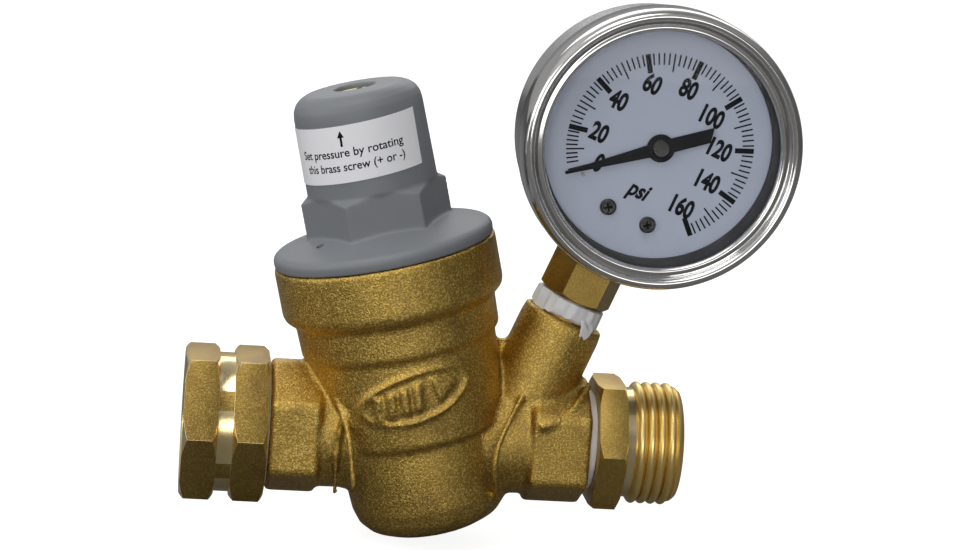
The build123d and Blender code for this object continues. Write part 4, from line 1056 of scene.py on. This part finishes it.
# ---------------------------------------------------------------- outlet nipple
# Turned from forged hexagon bar: a male pipe thread in the body, a thin matte hexagon, a bright relief collar
# and a male hose thread with worn, rounded crests. Its end is chamfered.
nipple_hex_start = 38.2
nipple_hex_length = 6.2
collar_end = 46.6
thread_start = nipple_hex_start + 3.0
thread_rings = [(0, thread_start), (12.1, thread_start), (12.1, 46.45), (11.9, collar_end)]
for turn_number in range(hose_turns):
    crest = 47.75 + turn_number * hose_pitch
    thread_rings += [(12.35, crest - 1.08), (12.75, crest - 0.86), (13.25, crest - 0.52)]
    thread_rings += [(13.43, crest - 0.2), (13.45, crest + 0.12), (13.3, crest + 0.48), (12.85, crest + 0.84)]
thread_rings += [(12.3, 55.5), (12.75, 55.75), (12.6, 56.2), (11.9, 57.0), (0, 57.0)]
nipple_thread = turned("nipple_thread", thread_rings, on_pipe, 128)
nipple = united(
    "outlet_nipple_fitting",
    hexagon("nipple", 27.0, nipple_hex_start, nipple_hex_length, on_pipe, 0.9, 0.9),
    [nipple_thread, round_bar(10.35, 25.4, 14.0, on_pipe, 96)],
)
bored(nipple, 7.5, 20.0, 45.0, on_pipe)
softened(nipple, 0.15)


def on_nipple_flat(face):
    """True for the six flats of the thin hexagon."""
    middle = face.center - crossing
    reach = sqrt(middle.y**2 + middle.z**2)
    angle = degrees(atan2(face.normal.z, face.normal.y)) % 60
    inside = nipple_hex_start < middle.x / mm < nipple_hex_start + nipple_hex_length
    return inside and abs(face.normal.x) < 0.05 and abs(angle - 30) < 8 and reach > 11 * mm


two_finishes(nipple, hexagon_brass, turned_brass_pipe, on_nipple_flat)
# The thread is a warmer brass than the collar, with a darker brass in its roots as painted shade. The face
# behind the hexagon is rough.
nipple.data.materials.append(thread_brass)
nipple.data.materials.append(painted_shade_thread_root_brass)
rough_slot, thread_slot, shaded_root_slot = 0, 2, 3
root_radius = 12.55
for face in nipple.data.polygons:
    along_pipe = (face.center.x - crossing.x) / mm
    from_axis = sqrt(face.center.y**2 + face.center.z**2) / mm
    if along_pipe > collar_end:
        in_root = from_axis < root_radius and 47.3 < along_pipe < 55.0
        face.material_index = shaded_root_slot if in_root else thread_slot
    elif along_pipe < nipple_hex_start + 1.2:
        face.material_index = rough_slot
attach(nipple, "valve_body")
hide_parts("outlet_nipple")

# ---------------------------------------------------------------- spring stack and valve
# Inside the body and the bonnet: turned brass screw, nut, plates, stem and seat, a coil spring of steel wire,
# and rubber for the diaphragm, the disc and the ring. Only the slotted head of the adjusting screw shows.
spring_wire = hazed("spring_wire", (0.36, 0.36, 0.38), (0.44, 0.44, 0.46), 0.34, 1.0, 2000.0, 200.0, 0.25)
plated_steel = hazed("plated_steel", (0.20, 0.195, 0.17), (0.32, 0.31, 0.28), 0.3, 1.0, 2200.0, 260.0, 0.3)
white_acetal = hazed("white_acetal", (0.78, 0.78, 0.75), (0.84, 0.84, 0.81), 0.4, 0.0, 1200.0, 80.0, 0.15)
for node in (
    "adjusting_screw", "spring_nut", "spring_plate", "under_plate", "stem", "stem_nut", "seat_insert",
    "disc_holder", "disc_nut",
):
    dressed(node, turned_brass_stack)
for node in ("diaphragm", "valve_disc", "seat_o_ring"):
    dressed(node, black_rubber)
dressed("range_spring", spring_wire)
dressed("thrust_washer", plated_steel)
dressed("slip_ring", white_acetal)

# ---------------------------------------------------------------- gauge socket
# The brass socket is one piece: pipe thread in the boss, wrench hexagon under the case and the block inside
# that carries the dial and the movement. The hexagon is drawn bar, dulled by handling.
socket_brass = blasted_brass(
    "socket_brass", (0.48, 0.33, 0.095), (0.36, 0.235, 0.06), (0.18, 0.10, 0.035), 0.36, 3800.0, 0.2
)
dressed("gauge_socket", socket_brass)

# ---------------------------------------------------------------- gauge case and bezel
# Case drawn from stainless sheet, with a rubber plug in its back. The bezel ring is rolled from stainless
# strip: straight outer wall, round ridge, hollow and a second bright ridge that holds the window.
case_steel = hazed("case_steel", (0.50, 0.50, 0.51), (0.60, 0.60, 0.61), 0.22, 1.0, 900.0, 60.0, 0.10)
dressed("gauge_case", case_steel)
dressed("blowout_plug", black_rubber)
bezel = turned(
    "gauge_bezel_ring",
    [
        (28.6, 7.6), (29.3, 7.3), (29.8, 7.5), (30.0, 8.1), (30.0, 14.6), (29.95, 16.2), (29.75, 17.5),
        (29.35, 18.4), (28.8, 18.9), (28.2, 19.0), (27.7, 18.7), (27.35, 18.1), (27.1, 17.6), (26.8, 17.3),
        (26.45, 17.35), (26.1, 17.5), (25.75, 17.45), (25.4, 17.15), (25.22, 16.7), (25.2, 16.15),
        (27.55, 16.12), (27.55, 14.6), (28.6, 14.55), (28.6, 7.6),
    ],
    on_dial,
    192,
)
smooth(bezel, 50)
polished_steel = hazed(
    "polished_steel", (0.60, 0.59, 0.575), (0.68, 0.67, 0.655), 0.10, 1.0, 700.0, 90.0, 0.05, 0.04
)
on_body(bezel, polished_steel, "polished_steel", "gauge_bezel")

# ---------------------------------------------------------------- window and gasket
# A flat clear window bears on a black rubber gasket. The gasket's inner edge sits a little off centre, so it
# shows as a dark crescent on the dial's lower right. The window lets light through for shadows.
clear_window = new_material("clear_window", 0.0, 0.0)
window_glass = shader(clear_window)
window_glass.inputs["Base Color"].default_value = (0.96, 0.97, 1.0, 1)
window_glass.inputs["Transmission Weight"].default_value = 1.0
window_glass.inputs["IOR"].default_value = 1.15
window_nodes = clear_window.node_tree.nodes
window_links = clear_window.node_tree.links
light_path = window_nodes.new("ShaderNodeLightPath")
lets_light_in = window_nodes.new("ShaderNodeBsdfTransparent")
window_mix = window_nodes.new("ShaderNodeMixShader")
window_links.new(light_path.outputs["Is Shadow Ray"], window_mix.inputs[0])
window_links.new(window_glass.outputs[0], window_mix.inputs[1])
window_links.new(lets_light_in.outputs[0], window_mix.inputs[2])
window_links.new(window_mix.outputs[0], window_nodes["Material Output"].inputs["Surface"])
dressed("gauge_window", clear_window)
gasket = turned(
    "window_gasket_ring",
    [
        (24.65, 12.62), (24.55, 12.8), (24.55, 14.3), (24.65, 14.48), (27.3, 14.48), (27.3, 12.62),
        (24.65, 12.62),
    ],
    Matrix.Identity(4),
    160,
)
gasket_shift = Vector((-0.8, 0.5, 0)) * mm
for vertex in gasket.data.vertices:
    if sqrt(vertex.co.x**2 + vertex.co.y**2) < 25 * mm:
        vertex.co += gasket_shift
place(gasket, on_dial)
smooth(gasket, 40)
on_body(gasket, black_rubber, "black_rubber", "window_gasket")

# ---------------------------------------------------------------- dial
# White enamelled aluminium disc with its scale printed in black: a tick every 2, a longer one every 10 and a
# thick one with its number every 20, over three quarters of a turn. Two cross-head screws and a pin go in it.
dial_enamel = hazed("dial_enamel", (0.36, 0.39, 0.455), (0.38, 0.41, 0.475), 0.45, 0.0, 1500.0, 30.0, 0.05)
dressed("gauge_dial", dial_enamel)
scale_outer = 20.2
scale_zero = 225.0
scale_stop = 231.0
scale_sweep = 270.0
scale_top = 160
tick_step, long_step, number_step = 2, 10, 20
dial_face = 12.6
print_thickness = 0.02
printed = []


def scale_angle(pressure):
    """Clockwise from the stem's direction; the scale is a little crowded below the first number."""
    if pressure < number_step:
        first_number = scale_zero + scale_sweep * number_step / scale_top
        return radians(scale_stop + (first_number - scale_stop) * pressure / number_step)
    return radians(scale_zero + scale_sweep * pressure / scale_top)


for pressure in range(0, scale_top + 1, tick_step):
    if pressure == tick_step:
        continue
    length, width = 2.5, 0.34
    if pressure % long_step == 0:
        length = 3.9
    if pressure % number_step == 0:
        length, width = 4.1, 1.1
    clockwise = scale_angle(pressure)
    tick = begin("cube", size=1.0)
    tick.scale = (width * mm, length * mm, print_thickness * mm)
    tick.location = (0, (scale_outer - length / 2) * mm, 0)
    place(tick, Matrix.Identity(4))
    printed.append(place(tick, Matrix.Rotation(-clockwise, 4, "Z")))
for pressure in range(0, scale_top + 1, number_step):
    clockwise = scale_angle(pressure)
    number = lettering(str(pressure), 3.9, 0.70, 0.22)
    reach = 12.5 if 100 <= pressure <= 140 else 13.6
    printed.append(moved(number, reach * sin(clockwise), reach * cos(clockwise)))
unit = lettering("psi", 3.6, 0.80, 0.17)
unit_lean = 0.2
for vertex in unit.data.vertices:
    vertex.co.x += unit_lean * vertex.co.y
printed.append(moved(unit, 0, -10.2))
dial_print = joined("gauge_dial_print", printed)
place(dial_print, on_dial @ Matrix.Translation((0, 0, (dial_face + print_thickness) * mm)))
on_body(dial_print, black_print, "black_metal")
dark_steel = hazed("dark_steel", (0.035, 0.034, 0.030), (0.085, 0.083, 0.075), 0.30, 1.0, 2600.0, 400.0, 0.6)
dressed("dial_screws", dark_steel)
# Painted shade in the screws' cross recesses: thin black bars laid on the recess floors.
recess_length, recess_width = 1.86, 0.42
shade_bars = []
for screw_side in (-4.7, 4.7):
    for recess_turn in (35, 125):
        bar = begin("cube", size=1.0)
        bar.scale = Vector((recess_length, recess_width, 0.02)) * mm
        bar.rotation_euler = (0, 0, radians(recess_turn))
        place(bar, Matrix.Identity(4))
        shade_bars.append(moved(bar, screw_side, -16.0, 13.07))
# The black bars are joined into one piece of painted shade.
recess_shade = joined("dial_screw_painted_shade", shade_bars)
place(recess_shade, on_dial)
on_body(recess_shade, black_print, "black_metal")
dressed("stop_pin", plated_steel)
dressed("dial_spacers", turned_brass_stem)

# ---------------------------------------------------------------- pointer
# Black painted pointer, blanked from thin aluminium with a broad cut-off tail, on a hub pressed on the arbor.
pointer_black = hazed(
    "pointer_black", (0.006, 0.006, 0.006), (0.010, 0.010, 0.010), 0.5, 0.0, 1800.0, 200.0, 0.1
)
shader(pointer_black).inputs["Specular IOR Level"].default_value = 0.15
dressed("pointer", pointer_black)
dressed("pointer_cap", dark_steel)

# ---------------------------------------------------------------- movement
# Brass tube, plates, pillars, sector and pinion of the gauge, hidden in the case behind the dial.
for node in (
    "bourdon_tube", "tube_tip", "movement_back_plate", "movement_front_plate", "movement_pillars",
    "sector_gear", "pinion", "link", "hairspring",
):
    dressed(node, turned_brass_stem)
for node in ("movement_screws", "link_screw"):
    dressed(node, plated_steel)
